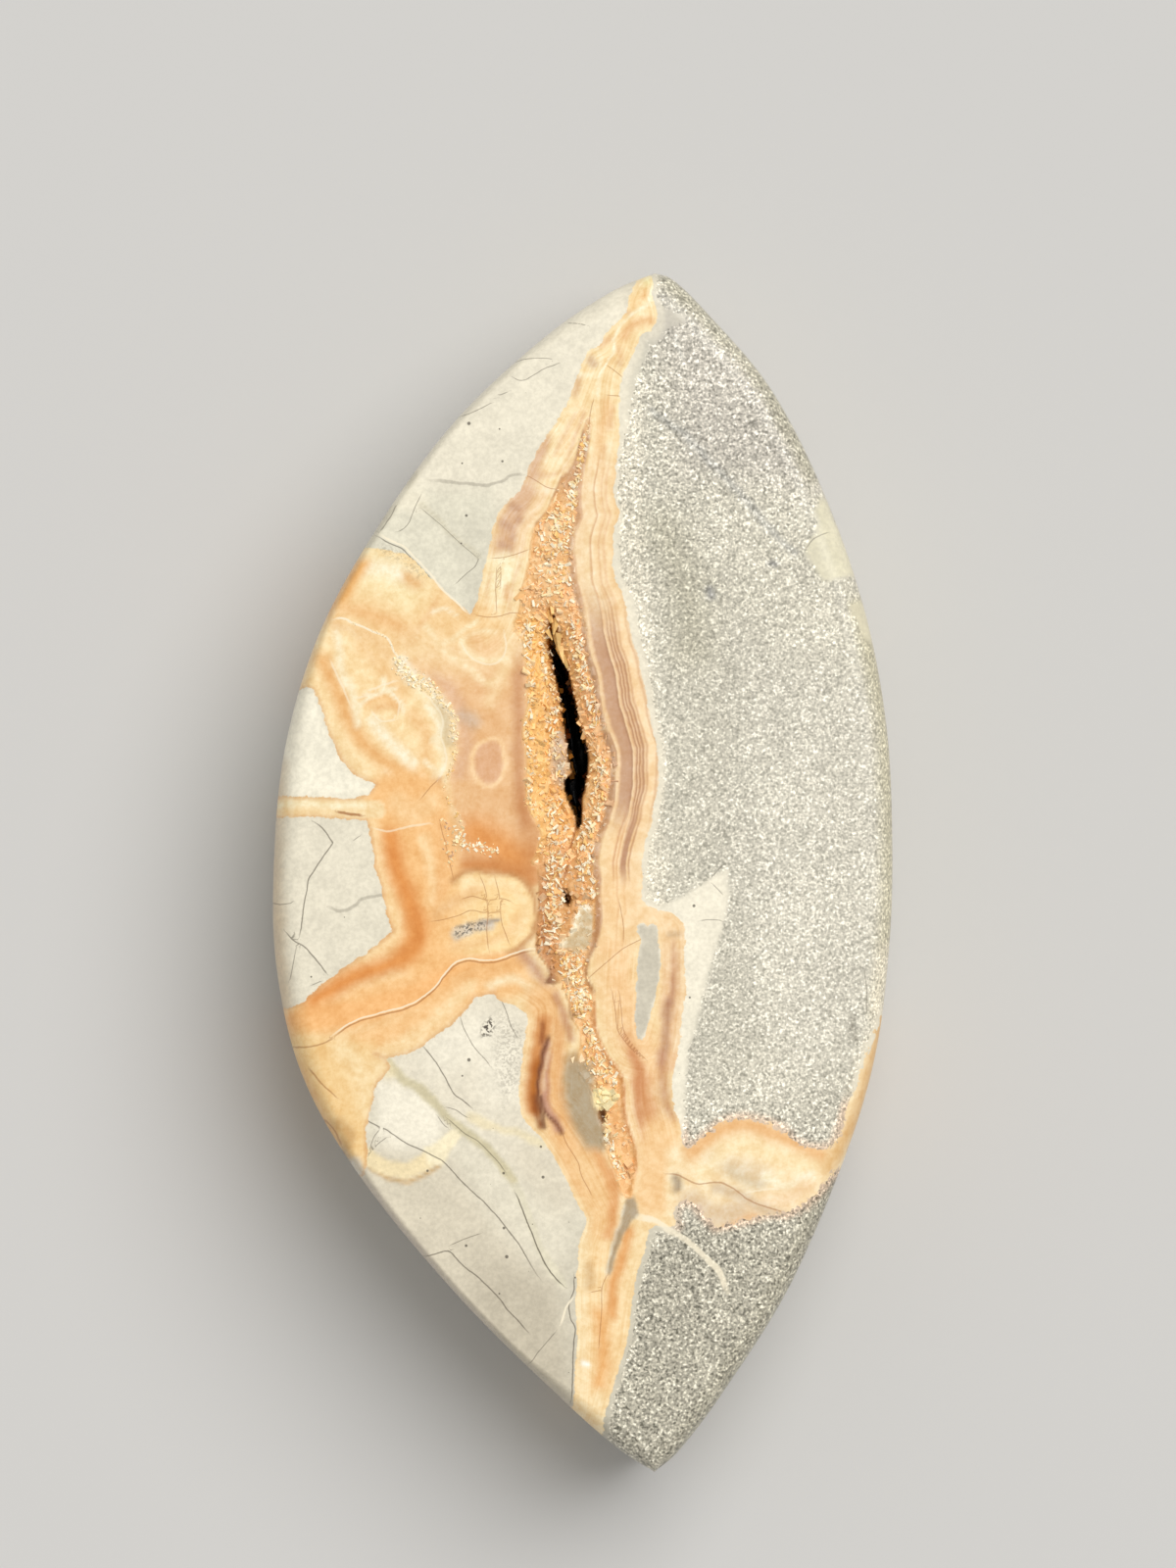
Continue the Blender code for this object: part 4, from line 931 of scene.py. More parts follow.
brown_lines = new_family()
cracks(brown_lines, 0.1, 0.55,
    [(53.5, 48.5), (54.5, 49), (55.8, 49.8), (56.8, 50)], [(50.2, 57), (52, 56.8), (54, 56.1)],
    [(48.6, 62.8), (49.7, 63), (51, 62.9), (52, 62.6), (53, 62.6)], [(50.7, 58), (50.6, 60), (50.7, 62.5)],
    [(51.1, 57.5), (51.1, 60)], [(60, 44), (60.3, 41.8), (60.6, 40.8)], [(62, 37.4), (62.8, 38),
    (63.5, 38.6), (64.1, 39.3)], [(62, 40.4), (63.2, 40.5), (64, 40.8)], [(44.9, 83.8), (45.3, 85.5),
    (45.8, 87.5), (46.3, 89.6)], [(49, 89.3), (49.6, 91), (49.8, 93), (49.7, 95), (49.9, 97)],
    [(50.5, 89.5), (51, 91.5), (51.2, 94), (51.7, 95.5), (52, 96.3)], [(47.2, 91.7), (48.3, 91.4),
    (49.7, 91.8), (51.3, 91.7), (52.2, 92)], [(44, 94), (46.5, 93.5), (48, 92.9), (49.5, 93.1), (51.2, 93)],
    [(44.8, 79.5), (44, 80.3), (43, 81.5)], [(62.4, 101), (62.8, 103), (63, 105), (64, 106.5), (65.5, 108)],
    [(63.2, 101.2), (63.4, 103), (63.6, 105), (64.5, 106.5), (66, 108.2)], [(60, 99.8), (61.5, 98.5),
    (63.5, 96.8), (65.5, 95.8), (66.8, 95.1)], [(63.2, 92), (63.6, 94.5), (63.6, 96)], [(66.1, 94.5),
    (66.1, 96.5), (65.8, 99), (65.6, 101), (65.5, 102)], [(56.2, 114.2), (57.2, 115.2), (58, 117),
    (59, 118.5), (59.3, 119.8), (60, 121.2), (60.4, 122)], [(62, 130), (61.5, 131), (61.4, 132),
    (61.4, 134), (61.2, 136), (61.1, 137.5)], [(60.3, 131.8), (61.5, 131.5)], [(65.5, 129), (65, 131),
    (64.7, 133), (64.5, 135)], [(67.2, 125.8), (69.2, 126.9), (71.2, 128.5), (72.7, 130.2)])
cracks(brown_lines, 0.26, 0.8,
    [(58.7, 84.5), (58.3, 86.3), (57.9, 88), (57.6, 89.8)], [(57.6, 90.7), (57.7, 92.1)], [(34.5, 82.8),
    (35.5, 83), (37, 83.2)])
cracks(brown_lines, 0.16, 0.55,
    [(30, 106.8), (31.5, 106.8), (33, 106.4), (34, 105.9)], [(31.6, 109), (33, 110.6), (34.4, 112)],
    [(33, 114), (34, 115), (35, 116.8)], [(68, 119.7), (69, 119.8), (70, 120.2), (71, 120.7), (72.2, 120.7),
    (73.5, 120.6), (74.5, 121), (75.5, 121.7), (76.2, 122.3), (77.5, 122.9), (78.8, 123.3), (80, 123.8),
    (81.2, 124.7)])

pale_lines = new_family()
WHITE_SEAM = [
    (54.5, 96.7), (53.5, 96.9), (52, 97.4), (50.5, 97.9), (49, 97.9), (47.8, 97.8), (46.5, 98.2),
    (45.5, 99.2), (44.7, 100.3), (43.8, 101.2), (42.8, 102), (41.5, 102.6), (40, 103), (38.5, 103.4),
    (37, 103.8), (35.8, 104.3), (34.8, 105), (34, 105.6)]
MUD_EDGE_SEAM = [
    (38.7, 54.5), (40, 55.3), (41.2, 55.8), (42, 56.6), (43, 57.6), (44, 58.7), (45, 60), (46, 60.9),
    (47, 61.8), (47.8, 62.6)]
cracks(pale_lines, 0.16, 0.8, WHITE_SEAM)
cracks(pale_lines, 0.2, 0.85,
    MUD_EDGE_SEAM, [(34.2, 63.2), (35, 63.1), (36, 63.6), (37.2, 64.1), (38.2, 64.5), (39.2, 64.9),
    (39.8, 65.6), (40.2, 66.5), (40.7, 67.2), (41.3, 68)], [(58.5, 132.3), (57.7, 133.5), (57.2, 135)])
cracks(brown_lines, 0.16, 0.65, [(across, down + 0.26) for across, down in WHITE_SEAM])
cracks(dark_lines, 0.12, 0.7, [(across - 0.2, down + 0.2) for across, down in MUD_EDGE_SEAM])
stroke(mud, colour(214, 206, 180), 0.35, 0.25, [(42.8, 51.6), (44, 52.4), (45.2, 53.5), (46, 54.4),
    (47, 55.2), (48, 56), (49, 56.8)])
cracks(dark_lines, 0.08, 0.5, [(43, 51.9), (45, 53.6), (47, 55.5), (48.8, 57)])
cracks(pale_lines, 0.2, 0.5,
    [(37.5, 70.5), (39, 70), (40.5, 69.5)], [(36.5, 71.2), (38, 70.8)], [(38, 72.6), (39, 73.6),
    (40.6, 73.4)], [(40, 70.6), (40.8, 71.8), (40.6, 73)], [(33.8, 67.5), (34.5, 69), (35.2, 70.5),
    (35.8, 72)], [(38.1, 84.5), (39.5, 84.8), (40.5, 84.7), (42, 84.3), (44, 84)], [(43, 70.5), (44.5, 72),
    (45.2, 73.5), (45, 75), (45.5, 76.5), (45.5, 78), (44.8, 79.5)], [(47, 65.5), (48, 67), (49.5, 67.8),
    (51, 67.5), (51.7, 66), (51.4, 64.5)], [(76.2, 121.6), (78, 121.3), (79.5, 121.3)])
cracks(pale_lines, 0.8, 0.75,
    [(65.1, 124.1), (66.5, 124.4), (68, 125.3), (69.5, 126.2), (70.8, 127), (71.8, 128.2), (73, 129.2),
    (73.7, 130.3), (74.2, 131.8)])
TAN_VEINLET = [
    (39.2, 107.8), (41, 110), (42.8, 110.9), (44.7, 112.9), (45.8, 114.2), (47.3, 115.2), (49.1, 116.6),
    (51, 118.5), (52.2, 120.3), (53.2, 122.5), (54.1, 124.7), (55, 127), (56.1, 129.2), (57.6, 131)]
strokes(mud, [
    ((230, 222, 196), 0.9, 0.25, TAN_VEINLET),
    ((214, 203, 168), 0.9, 0.25, TAN_VEINLET[:9]),
    ((240, 224, 182), 1.6, 0.5, [(38.6, 108), (39.6, 109.2)], 0.8)])
cracks(dark_lines, 0.1, 0.6, [(45.6, 114), (47.2, 115.4), (48.8, 116.4), (50.6, 118.2), (51.6, 119.6)])
cracks(dark_lines, 0.14, 0.8, [(52.6, 121.6), (53.4, 123.6), (54.4, 126), (55.2, 128), (56.2, 129.8),
                              (57.6, 131.2)])


# Dark gritty specks in a few patches
grit = np.max([
    within([(49.2, 105.8), (49.3, 104.6), (50.2, 103.6), (50.6, 104.6), (50.2, 105.6)], 0.3),
    within([(51, 103), (53.4, 105), (53.2, 110), (51.5, 113), (50.4, 108)], 1.0, 0.3),
    along(0.9, 0.4, [(46.8, 95.1), (47.8, 94.7), (49.2, 94.3)], 0.9),
    along(0.9, 0.6, [(39, 56), (41, 57), (43, 58.8)], 0.3),
    along(0.5, 0.4, [(54.8, 59), (55, 62), (53.5, 66)], 0.4)], axis=0)


def give_attribute(data, name, values):
    """Store one number, or a row of three, for every vertex."""
    kind = 'FLOAT' if values.ndim == 1 else 'FLOAT_VECTOR'
    made = data.attributes.new(name, kind, 'POINT')
    made.data.foreach_set("value" if kind == 'FLOAT' else "vector", values.astype(np.float32).ravel())


stone_data = bpy.data.meshes.new("polished_stone")
stone_bmesh.to_mesh(stone_data)
stone_bmesh.free()
stone_data.shade_smooth()
for name, values in (
        ("borders", np.column_stack((calcite, druse, pyrite))),
        ("limb", np.column_stack((band, spot_down, right_limb))),
        ("mud_colour", mud), ("calcite_colour", peach), ("dark_lines", dark_lines),
        ("brown_lines", brown_lines), ("pale_lines", pale_lines), ("banding", banding),
        ("grit", grit), ("sawn", ease(3.0, 18.0, depth - sunk * on_face))):
    give_attribute(stone_data, name, values)

# The stone's material
# Polished mudstone and calcite, with metal glints of the pyrite painted into its colour as
# painted highlights, and a dull, sawn back. The helpers here add their nodes to the tree of the
# material that is being made.
GRAINS_PER_METRE = 3900.0
DARK_DOTS_PER_METRE = 260.0
SPARKLES_PER_METRE = 2600.0
POLISH = (0.3, 0.4)
SAWN_ROUGHNESS = 0.75
CRYSTAL_ROUGHNESS = 0.45
STONE_SPECULAR = 0.4
SPARKLE_BUMP = 0.0002


def new_material(name):
    """A material with its node tree and its shader."""
    made = bpy.data.materials.new(name)
    made.use_nodes = True
    return made, made.node_tree, made.node_tree.nodes["Principled BSDF"]


def node(kind, inputs=(), **settings):
    """Add a shader node; each input is a number, a colour or another node's socket."""
    made = tree.nodes.new(kind)
    for name, value in settings.items():
        setattr(made, name, value)
    for key, value in dict(inputs).items():
        if isinstance(value, bpy.types.NodeSocket):
            tree.links.new(value, made.inputs[key])
        else:
            made.inputs[key].default_value = value
    return made


def sums(operation, first, second=0.0):
    """The result of a sum on two numbers."""
    return node("ShaderNodeMath", {0: first, 1: second}, operation=operation).outputs[0]


def times(first, second):
    """Two numbers multiplied."""
    return sums('MULTIPLY', first, second)


def plus(first, second):
    """Two numbers added."""
    return sums('ADD', first, second)


def centred(value):
    """Noise moved so that it swings about nought."""
    return sums('SUBTRACT', value, 0.5)


def ramp(value, low, high, bottom=0.0, top=1.0):
    """A smooth change from bottom to top as a value goes from low to high."""
    return node("ShaderNodeMapRange", {0: value, 1: low, 2: high, 3: bottom, 4: top},
                interpolation_type='SMOOTHSTEP').outputs[0]


def swing(value, bottom, top):
    """Noise, which mostly lies between 0.3 and 0.7, turned into a factor from bottom to top."""
    return ramp(value, 0.3, 0.7, bottom, top)


def blend(cover, under, over, mode='MIX'):
    """One colour laid over another."""
    return node("ShaderNodeMix", {0: cover, 6: under, 7: over}, data_type='RGBA',
                blend_type=mode).outputs[2]


def tinted(colours, light):
    """One colour multiplied by another."""
    return blend(1.0, colours, light, 'MULTIPLY')


def stored(name, kind="Vector"):
    """One of the mesh's attributes."""
    return node("ShaderNodeAttribute", attribute_name=name).outputs[kind]


def parts_of(vector):
    """The three numbers of a vector or a colour."""
    return node("ShaderNodeSeparateXYZ", {0: vector}).outputs


def joined(first, second, third=0.0):
    """Three numbers joined into a vector or a colour."""
    return node("ShaderNodeCombineXYZ", {0: first, 1: second, 2: third}).outputs[0]


def noise_of(vector, scale, detail=2.0, roughness=0.5):
    """Soft noise between about 0.3 and 0.7."""
    made = node("ShaderNodeTexNoise", {"Vector": vector, "Scale": scale, "Detail": detail,
                                       "Roughness": roughness})
    return made.outputs["Factor"] if "Factor" in made.outputs else made.outputs["Fac"]


def cells_of(vector, scale, **settings):
    """Cells of random size: how far the middle of each is, and a random number for each."""
    made = node("ShaderNodeTexVoronoi", {"Vector": vector, "Scale": scale}, **settings)
    return made.outputs["Distance"], parts_of(made.outputs["Color"])[0]


def line_cover(name, shake):
    """How far a family of lines covers the stone here."""
    parts = parts_of(stored(name))
    side = sums('ABSOLUTE', plus(parts[0], shake))
    return times(times(ramp(side, 1.5, 0.5), ramp(parts[1], 0.45, 0.25)), parts[2])


def opaque(tint):
    """A colour with its alpha."""
    return (*tint, 1.0)


def colour_ramp(value, stops):
    """The colour for a value, between stops that each have a position and a colour."""
    made = node("ShaderNodeValToRGB", {0: value})
    elements = made.color_ramp.elements
    for number, (position, tint) in enumerate((stops[0], stops[-1])):
        elements[number].position = position
        elements[number].color = opaque(tint)
    for position, tint in stops[1:-1]:
        elements.new(position).color = opaque(tint)
    return made.outputs["Color"]


def warm_light(light):
    """Turn one factor into a tint that grows more orange as it darkens."""
    return joined(sums('POWER', light, 0.5), light, sums('POWER', light, 1.8))


def grey_light(light):
    """Turn one factor into a grey tint."""
    return joined(light, light, light)


stone, tree, shader = new_material("polished_septarian_stone")
place = node("ShaderNodeTexCoord").outputs["Object"]
place_across, place_along, _ = parts_of(place)
into_calcite, into_crack, into_pyrite = parts_of(stored("borders"))
mud_colour = stored("mud_colour")
sawn = stored("sawn", "Fac")
fine = noise_of(place, 2200.0, 3.0, 0.6)
middling = noise_of(place, 500.0, 4.0, 0.6)
broad = noise_of(place, 90.0, 3.0)
shake = times(centred(middling), 4.5)

# Mudstone with its fine speckle and a few small dark dots on the face
mottle = times(swing(middling, 0.95, 1.05), swing(fine, 0.92, 1.06))
mottled_mud = tinted(mud_colour, grey_light(mottle))
dot_distance, dot_kind = cells_of(place, DARK_DOTS_PER_METRE, voronoi_dimensions='2D')
dot_size = times(sums('POWER', dot_kind, 3.0), 0.05)
dark_dot = ramp(sums('SUBTRACT', dot_distance, dot_size), 0.008, -0.008, 0.0, 0.8)
facing = parts_of(node("ShaderNodeTexCoord").outputs["Normal"])[2]
dark_dot = times(dark_dot, ramp(facing, 0.8, 0.9))
mottled_mud = blend(dark_dot, mottled_mud, opaque(colour(84, 76, 66)))

# Pyrite grains of 0.3 to 0.4 mm, from dark gaps to bright cream facets, crisper towards both ends;
# the brightest facets, lighter than any real colour, are painted highlights for the metal glints
grain_worms = noise_of(place, 3600.0, 2.0, 0.55)
grain_light = plus(times(cells_of(place, GRAINS_PER_METRE)[1], 0.45),
                   ramp(grain_worms, 0.25, 0.75, 0.0, 0.55))
grain_colour_and_glints = colour_ramp(grain_light, [
    (0.12, (0.24, 0.24, 0.22)), (0.35, (0.68, 0.68, 0.6868)), (0.55, (0.98, 0.98, 0.9898)),
    (0.72, (1.4, 1.4, 1.414)), (0.92, (2.3, 2.35, 2.5))])
crispness = plus(ramp(place_along, -0.032, -0.018, 0.4, 0.0), ramp(place_along, 0.02, 0.05, 0.62, 0.85))
grain_tint_and_glints = blend(crispness, (1.0, 1.0, 1.0, 1.0), grain_colour_and_glints)
pyrite_colour = tinted(tinted(mud_colour, grain_tint_and_glints), grey_light(swing(broad, 0.93, 1.06)))
is_pyritic = ramp(plus(into_pyrite, times(centred(fine), 1.6)), -0.12, 0.18)
mudstone_colour = blend(is_pyritic, mottled_mud, pyrite_colour)
mudstone_colour = blend(line_cover("dark_lines", shake), mudstone_colour, opaque(colour(92, 82, 70)))

# Calcite, cloudy all over, with fine growth bands that follow its walls
growth = joined(times(into_calcite, 2.6), times(broad, 2.0))
growth_bands = swing(noise_of(growth, 1.0, 4.0, 0.65), -0.13, 0.09)
clouds = swing(noise_of(place, 700.0, 5.0, 0.72), -0.13, 0.11)
specks = swing(fine, -0.045, 0.04)
band_light = plus(times(growth_bands, stored("banding", "Fac")), plus(clouds, specks))
band_light = plus(band_light, 1.0)

# The right-hand limb has stripes from the open crack to its outer wall, other ones at each height
UPPER_STRIPES = [
    (0.0, (222, 180, 140)), (0.06, (248, 218, 174)), (0.36, (250, 224, 180)), (0.42, (226, 184, 140)),
    (0.46, (252, 228, 186)), (0.6, (247, 214, 166)), (0.64, (238, 200, 154)), (0.7, (249, 220, 174)),
    (0.78, (240, 202, 156)), (0.84, (250, 222, 176)), (1.0, (244, 208, 156))]
MIDDLE_STRIPES = [
    (0.0, (206, 166, 130)), (0.03, (248, 216, 172)), (0.07, (244, 210, 166)), (0.11, (222, 180, 140)),
    (0.13, (208, 167, 133)), (0.34, (203, 160, 127)), (0.39, (184, 140, 108)), (0.42, (248, 216, 172)),
    (0.46, (232, 192, 148)), (0.5, (190, 142, 106)), (0.53, (236, 198, 154)), (0.57, (188, 138, 102)),
    (0.6, (230, 190, 146)), (0.65, (190, 142, 106)), (0.69, (240, 204, 158)), (0.73, (222, 178, 134)),
    (0.78, (252, 220, 174)), (0.9, (252, 222, 178)), (0.95, (230, 190, 146)), (1.0, (246, 222, 186))]
LOWER_STRIPES = [
    (0.0, (216, 172, 132)), (0.06, (250, 220, 172)), (0.3, (251, 216, 166)), (0.35, (222, 172, 126)),
    (0.38, (250, 214, 164)), (0.43, (232, 184, 134)), (0.47, (252, 218, 170)), (0.54, (196, 148, 112)),
    (0.63, (192, 146, 112)), (0.67, (246, 208, 158)), (0.71, (206, 158, 116)), (0.75, (250, 218, 172)),
    (1.0, (250, 222, 178))]
LOWEST_STRIPES = [
    (0.0, (206, 160, 122)), (0.06, (250, 214, 164)), (0.4, (251, 214, 162)), (0.44, (240, 196, 144)),
    (0.48, (252, 218, 168)), (0.6, (246, 206, 154)), (0.64, (252, 218, 170)), (1.0, (251, 220, 174))]
limb_share, limb_height, is_limb = parts_of(stored("limb"))
share = plus(limb_share, times(centred(middling), 0.06))
share = plus(share, times(centred(noise_of(place, 260.0)), 0.16))
upper, middle, lower, lowest = (
    colour_ramp(share, [(position, colour(*tint)) for position, tint in stripes])
    for stripes in (UPPER_STRIPES, MIDDLE_STRIPES, LOWER_STRIPES, LOWEST_STRIPES))
limb_colour = blend(ramp(limb_height, 58.0, 67.0), upper, middle)
limb_colour = blend(ramp(limb_height, 81.0, 86.0), limb_colour, lower)
limb_colour = blend(ramp(limb_height, 88.0, 91.0), limb_colour, lowest)
grown = blend(is_limb, stored("calcite_colour"), limb_colour)
banded = tinted(grown, warm_light(band_light))
banded = blend(line_cover("brown_lines", shake), banded, opaque(colour(168, 108, 62)))
crystalline = ramp(into_crack, -0.05, 0.25)
# In the crack each small cell is made lighter or darker, painted sparkle of facets catching the light
sparkle = cells_of(place, SPARKLES_PER_METRE)[1]
druse_colour_and_sparkle = tinted(banded, warm_light(ramp(sparkle, 0.1, 0.95, 0.84, 1.12)))
calcite_full = blend(crystalline, banded, druse_colour_and_sparkle)

# The two meet at a wall that is rougher beside the pyrite; over them go the pale lines, the grit
# and the paler look of the sawn back
wildness = ramp(place_across, 0.0095, 0.0125, 0.9, 2.6)
wildness = times(wildness, centred(noise_of(place, 900.0, 4.0, 0.7)))
is_calcite = ramp(plus(into_calcite, wildness), -0.06, 0.06)
whole = blend(is_calcite, mudstone_colour, calcite_full)
whole = blend(line_cover("pale_lines", shake), whole, opaque(colour(254, 242, 214)))
gritty = times(stored("grit", "Fac"), ramp(noise_of(place, 3200.0, 2.0, 0.6), 0.48, 0.56))
whole = blend(gritty, whole, opaque(colour(98, 90, 80)))
whole = blend(sawn, whole, blend(0.35, whole, opaque(colour(226, 218, 200))))
tree.links.new(whole, shader.inputs["Base Color"])
polish = sums('MAXIMUM', swing(middling, *POLISH), ramp(sawn, 0.0, 1.0, 0.0, SAWN_ROUGHNESS))
polish = sums('MAXIMUM', polish, times(crystalline, CRYSTAL_ROUGHNESS))
tree.links.new(polish, shader.inputs["Roughness"])
shader.inputs["Specular IOR Level"].default_value = STONE_SPECULAR
bump = node("ShaderNodeBump", {"Strength": 0.5, "Distance": SPARKLE_BUMP,
                               "Height": times(crystalline, sparkle)})
tree.links.new(bump.outputs["Normal"], shader.inputs["Normal"])
stone_data.materials.append(stone)


def put_in_scene(name, data):
    """A new object in the scene."""
    made = bpy.data.objects.new(name, data)
    bpy.context.scene.collection.objects.link(made)
    return made


polished_stone = put_in_scene("polished_stone", stone_data)
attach(polished_stone, "root")
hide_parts("septarian_nodule")

# The crystals of the open crack
# Small pointed calcite crystals, honey to white, that grew from both sides of the crack into its
# opening. They stand on the ledges, crowd its lips and line the top of its walls.
dice = random.Random(41)
WHITE_CRYSTAL = colour(255, 243, 214)
CREAM_CRYSTAL = colour(255, 230, 180)
HONEY_CRYSTAL = colour(248, 204, 132)
AMBER_CRYSTAL = colour(214, 146, 66)
TAN_CRYSTAL = colour(232, 193, 156)
DARK_CRYSTAL = colour(112, 58, 22)
LUMP_CRYSTAL = colour(255, 236, 182)
HALF_TURN = 3.1
WHOLE_TURN = 6.28


def grow_crystal(mesh, root, direction, length, width, tint):
    """One pointed crystal with four sides standing on its root, with its own colour."""
    direction = Vector(direction).normalized()
    spin = Euler((0.0, 0.0, dice.uniform(0.0, HALF_TURN))).to_quaternion()
    turn = direction.to_track_quat('Z', 'Y') @ spin
    middle = Matrix.Translation(Vector(root) + direction * length * 0.25)
    made = bmesh.ops.create_cone(mesh, cap_ends=True, cap_tris=True, segments=4,
                                 radius1=width * 0.5, radius2=width * dice.uniform(0.05, 0.3),
                                 depth=length, matrix=middle @ turn.to_matrix().to_4x4())
    tint_layer = mesh.verts.layers.float_color["crystal_colour"]
    for vertex in made["verts"]:
        vertex[tint_layer] = opaque(tint * dice.uniform(0.85, 1.0))


def new_crystals():
    """An empty mesh with room for each crystal's colour."""
    mesh = bmesh.new()
    mesh.verts.layers.float_color.new("crystal_colour")
    return mesh


def finish_crystals(mesh, name, material):
    """Make the crystals one object of the visual model."""
    data = bpy.data.meshes.new(name)
    mesh.to_mesh(data)
    mesh.free()
    data.materials.append(material)
    made = put_in_scene(name, data)
    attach(made, "root")
    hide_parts("septarian_nodule")


calcite_crystal, tree, shader = new_material("calcite_crystal")
cloud = swing(noise_of(node("ShaderNodeTexCoord").outputs["Object"], 2500.0), 0.88, 1.1)
tree.links.new(tinted(stored("crystal_colour", "Color"), grey_light(cloud)), shader.inputs["Base Color"])
shader.inputs["Roughness"].default_value = 0.3
shader.inputs["Specular IOR Level"].default_value = 0.25


def set_crystal(mesh, root, size, tint, lean=0.6, breadth=0.5):
    """One bladed crystal, tilted anyhow and half buried."""
    turn = Euler((dice.gauss(0.0, lean), dice.gauss(0.0, lean), dice.uniform(0.0, HALF_TURN)))
    stretch = Matrix.Diagonal((1.0, breadth * dice.uniform(0.6, 1.4), dice.uniform(0.15, 0.35), 1.0))
    placed = Matrix.Translation(Vector(root)) @ turn.to_matrix().to_4x4() @ stretch
    made = bmesh.ops.create_cube(mesh, size=size, matrix=placed)
    tint_layer = mesh.verts.layers.float_color["crystal_colour"]
    for vertex in made["verts"]:
        vertex[tint_layer] = opaque(tint / max(tint.max(), 1.0))


# White glints crowd along these lines, each with its width, softness, route and strength
glints = np.max([along(*line) for line in (
    (0.7, 0.3, [(54.1, 63.5), (53.7, 66), (53.9, 69), (53.9, 72), (53.6, 75), (53.9, 78), (53.8, 81.5),
        (54.6, 84), (55.2, 86)], 0.9),
    (1.2, 0.5, [(55.4, 64), (55.8, 68), (56.4, 71), (56.6, 75), (57.1, 79)], 0.5),
    (1.4, 0.5, [(56.3, 82), (57, 86), (56.8, 88), (56.4, 90)], 0.7),
    (1.0, 0.4, [(58.6, 64), (59.2, 68), (60, 70.5), (60.6, 73.6)], 0.9),
    (1.2, 0.5, [(60.6, 77), (61.4, 79), (61, 82), (60, 85), (59.8, 89)], 0.7),
    (0.8, 0.4, [(60.3, 42), (59.7, 44.5), (59.2, 47), (58.7, 50), (58.2, 52)], 0.9),
    (3.0, 1.0, [(57.5, 53), (56.8, 57), (56.5, 60.5)], 0.4),
    (1.6, 0.6, [(56.8, 88.5), (56.6, 92), (56, 95.5)], 0.8),
    (1.0, 0.5, [(59.5, 88), (60.2, 91.5)], 0.7),
    (2.0, 0.6, [(58, 98), (58.7, 100.5), (59, 102.5)], 1.0),
    (0.8, 0.4, [(59.6, 103.5), (60.3, 106), (61.3, 108)], 0.9),
    (1.4, 0.5, [(60.2, 107.5), (62.3, 110)], 0.6),
    (0.8, 0.4, [(61.9, 114), (62.4, 117), (63.2, 120)], 0.7))], axis=0)
glints *= ease(-0.05, 0.35, druse)
covered = ease(0.0, 0.3, druse) * (1.0 - within(MILKY_FAN, 0.2)) * (1.0 - within(CREAM_BLOB, 0.2))
covered *= np.interp(spot_down, (44, 52, 58, 62, 88, 97, 104, 110, 121),
                     (0.15, 0.3, 0.55, 1.0, 1.0, 0.8, 0.5, 0.3, 0.2))
covered *= 1.0 - 0.8 * ease(0.9, 0.3, druse) * ease(59.0, 60.0, spot_across) * (glints < 0.2)

# The polish ground them off level with the face
BURIED = 0.12 * MM
ceiling = face_height(skin[:, :2]) - BURIED


def jitter(least, most):
    """A random number of millimetres between two, in metres."""
    return dice.uniform(least, most) * MM


druse_mesh = new_crystals()
for number in np.flatnonzero((druse > -0.1) & (on_face > 0.9) & (vug < -0.22) & (sunk < 3.2)):
    root = skin[number] + (jitter(-0.15, 0.15), jitter(-0.15, 0.15), -BURIED)
    if dice.random() < 0.6 * covered[number]:
        tint = crack_tint[number] + (WHITE_CRYSTAL - crack_tint[number]) * 0.5 * dice.random() ** 2
        # Lumps are made brighter than the crack's colour, as painted light for the glow of translucent
        # calcite, with a random swing from noise
        lump = noise.noise(Vector((spot_across[number] * 1.3, spot_down[number] * 0.9, 2.0)))
        tint = tint * (1.1 + 0.5 * lump) * dice.uniform(0.9, 1.15)
        size = jitter(0.9, 1.3) if dice.random() < 0.06 else jitter(0.3, 0.8)
        set_crystal(druse_mesh, root, size, tint)
    for _ in range(2):
        if dice.random() > 0.6 * glints[number]:
            continue
        tint = dice.choice((WHITE_CRYSTAL, WHITE_CRYSTAL, CREAM_CRYSTAL, CREAM_CRYSTAL, HONEY_CRYSTAL))
        glint_root = root + np.array((jitter(-0.2, 0.2), jitter(-0.2, 0.2), jitter(0.15, 0.45)))
        glint_root[2] = min(glint_root[2], ceiling[number])
        if dice.random() < 0.75:
            set_crystal(druse_mesh, glint_root, jitter(0.25, 0.7), tint, 0.35, 0.35)
            continue
        glint_root[2] -= 0.1 * MM
        azimuth = dice.uniform(0.0, WHOLE_TURN)
        direction = (math.cos(azimuth), math.sin(azimuth), dice.uniform(0.1, 0.6))
        grow_crystal(druse_mesh, glint_root, direction, jitter(0.4, 0.8), jitter(0.1, 0.22), tint)

# A lump of larger cream crystals
for number in np.flatnonzero((within(CREAM_BLOB, 0.3) > 0.4) & (on_face > 0.9)):
    if dice.random() < 0.25:
        set_crystal(druse_mesh, skin[number], jitter(0.5, 1.1), LUMP_CRYSTAL * dice.uniform(0.85, 1.0), 0.3)

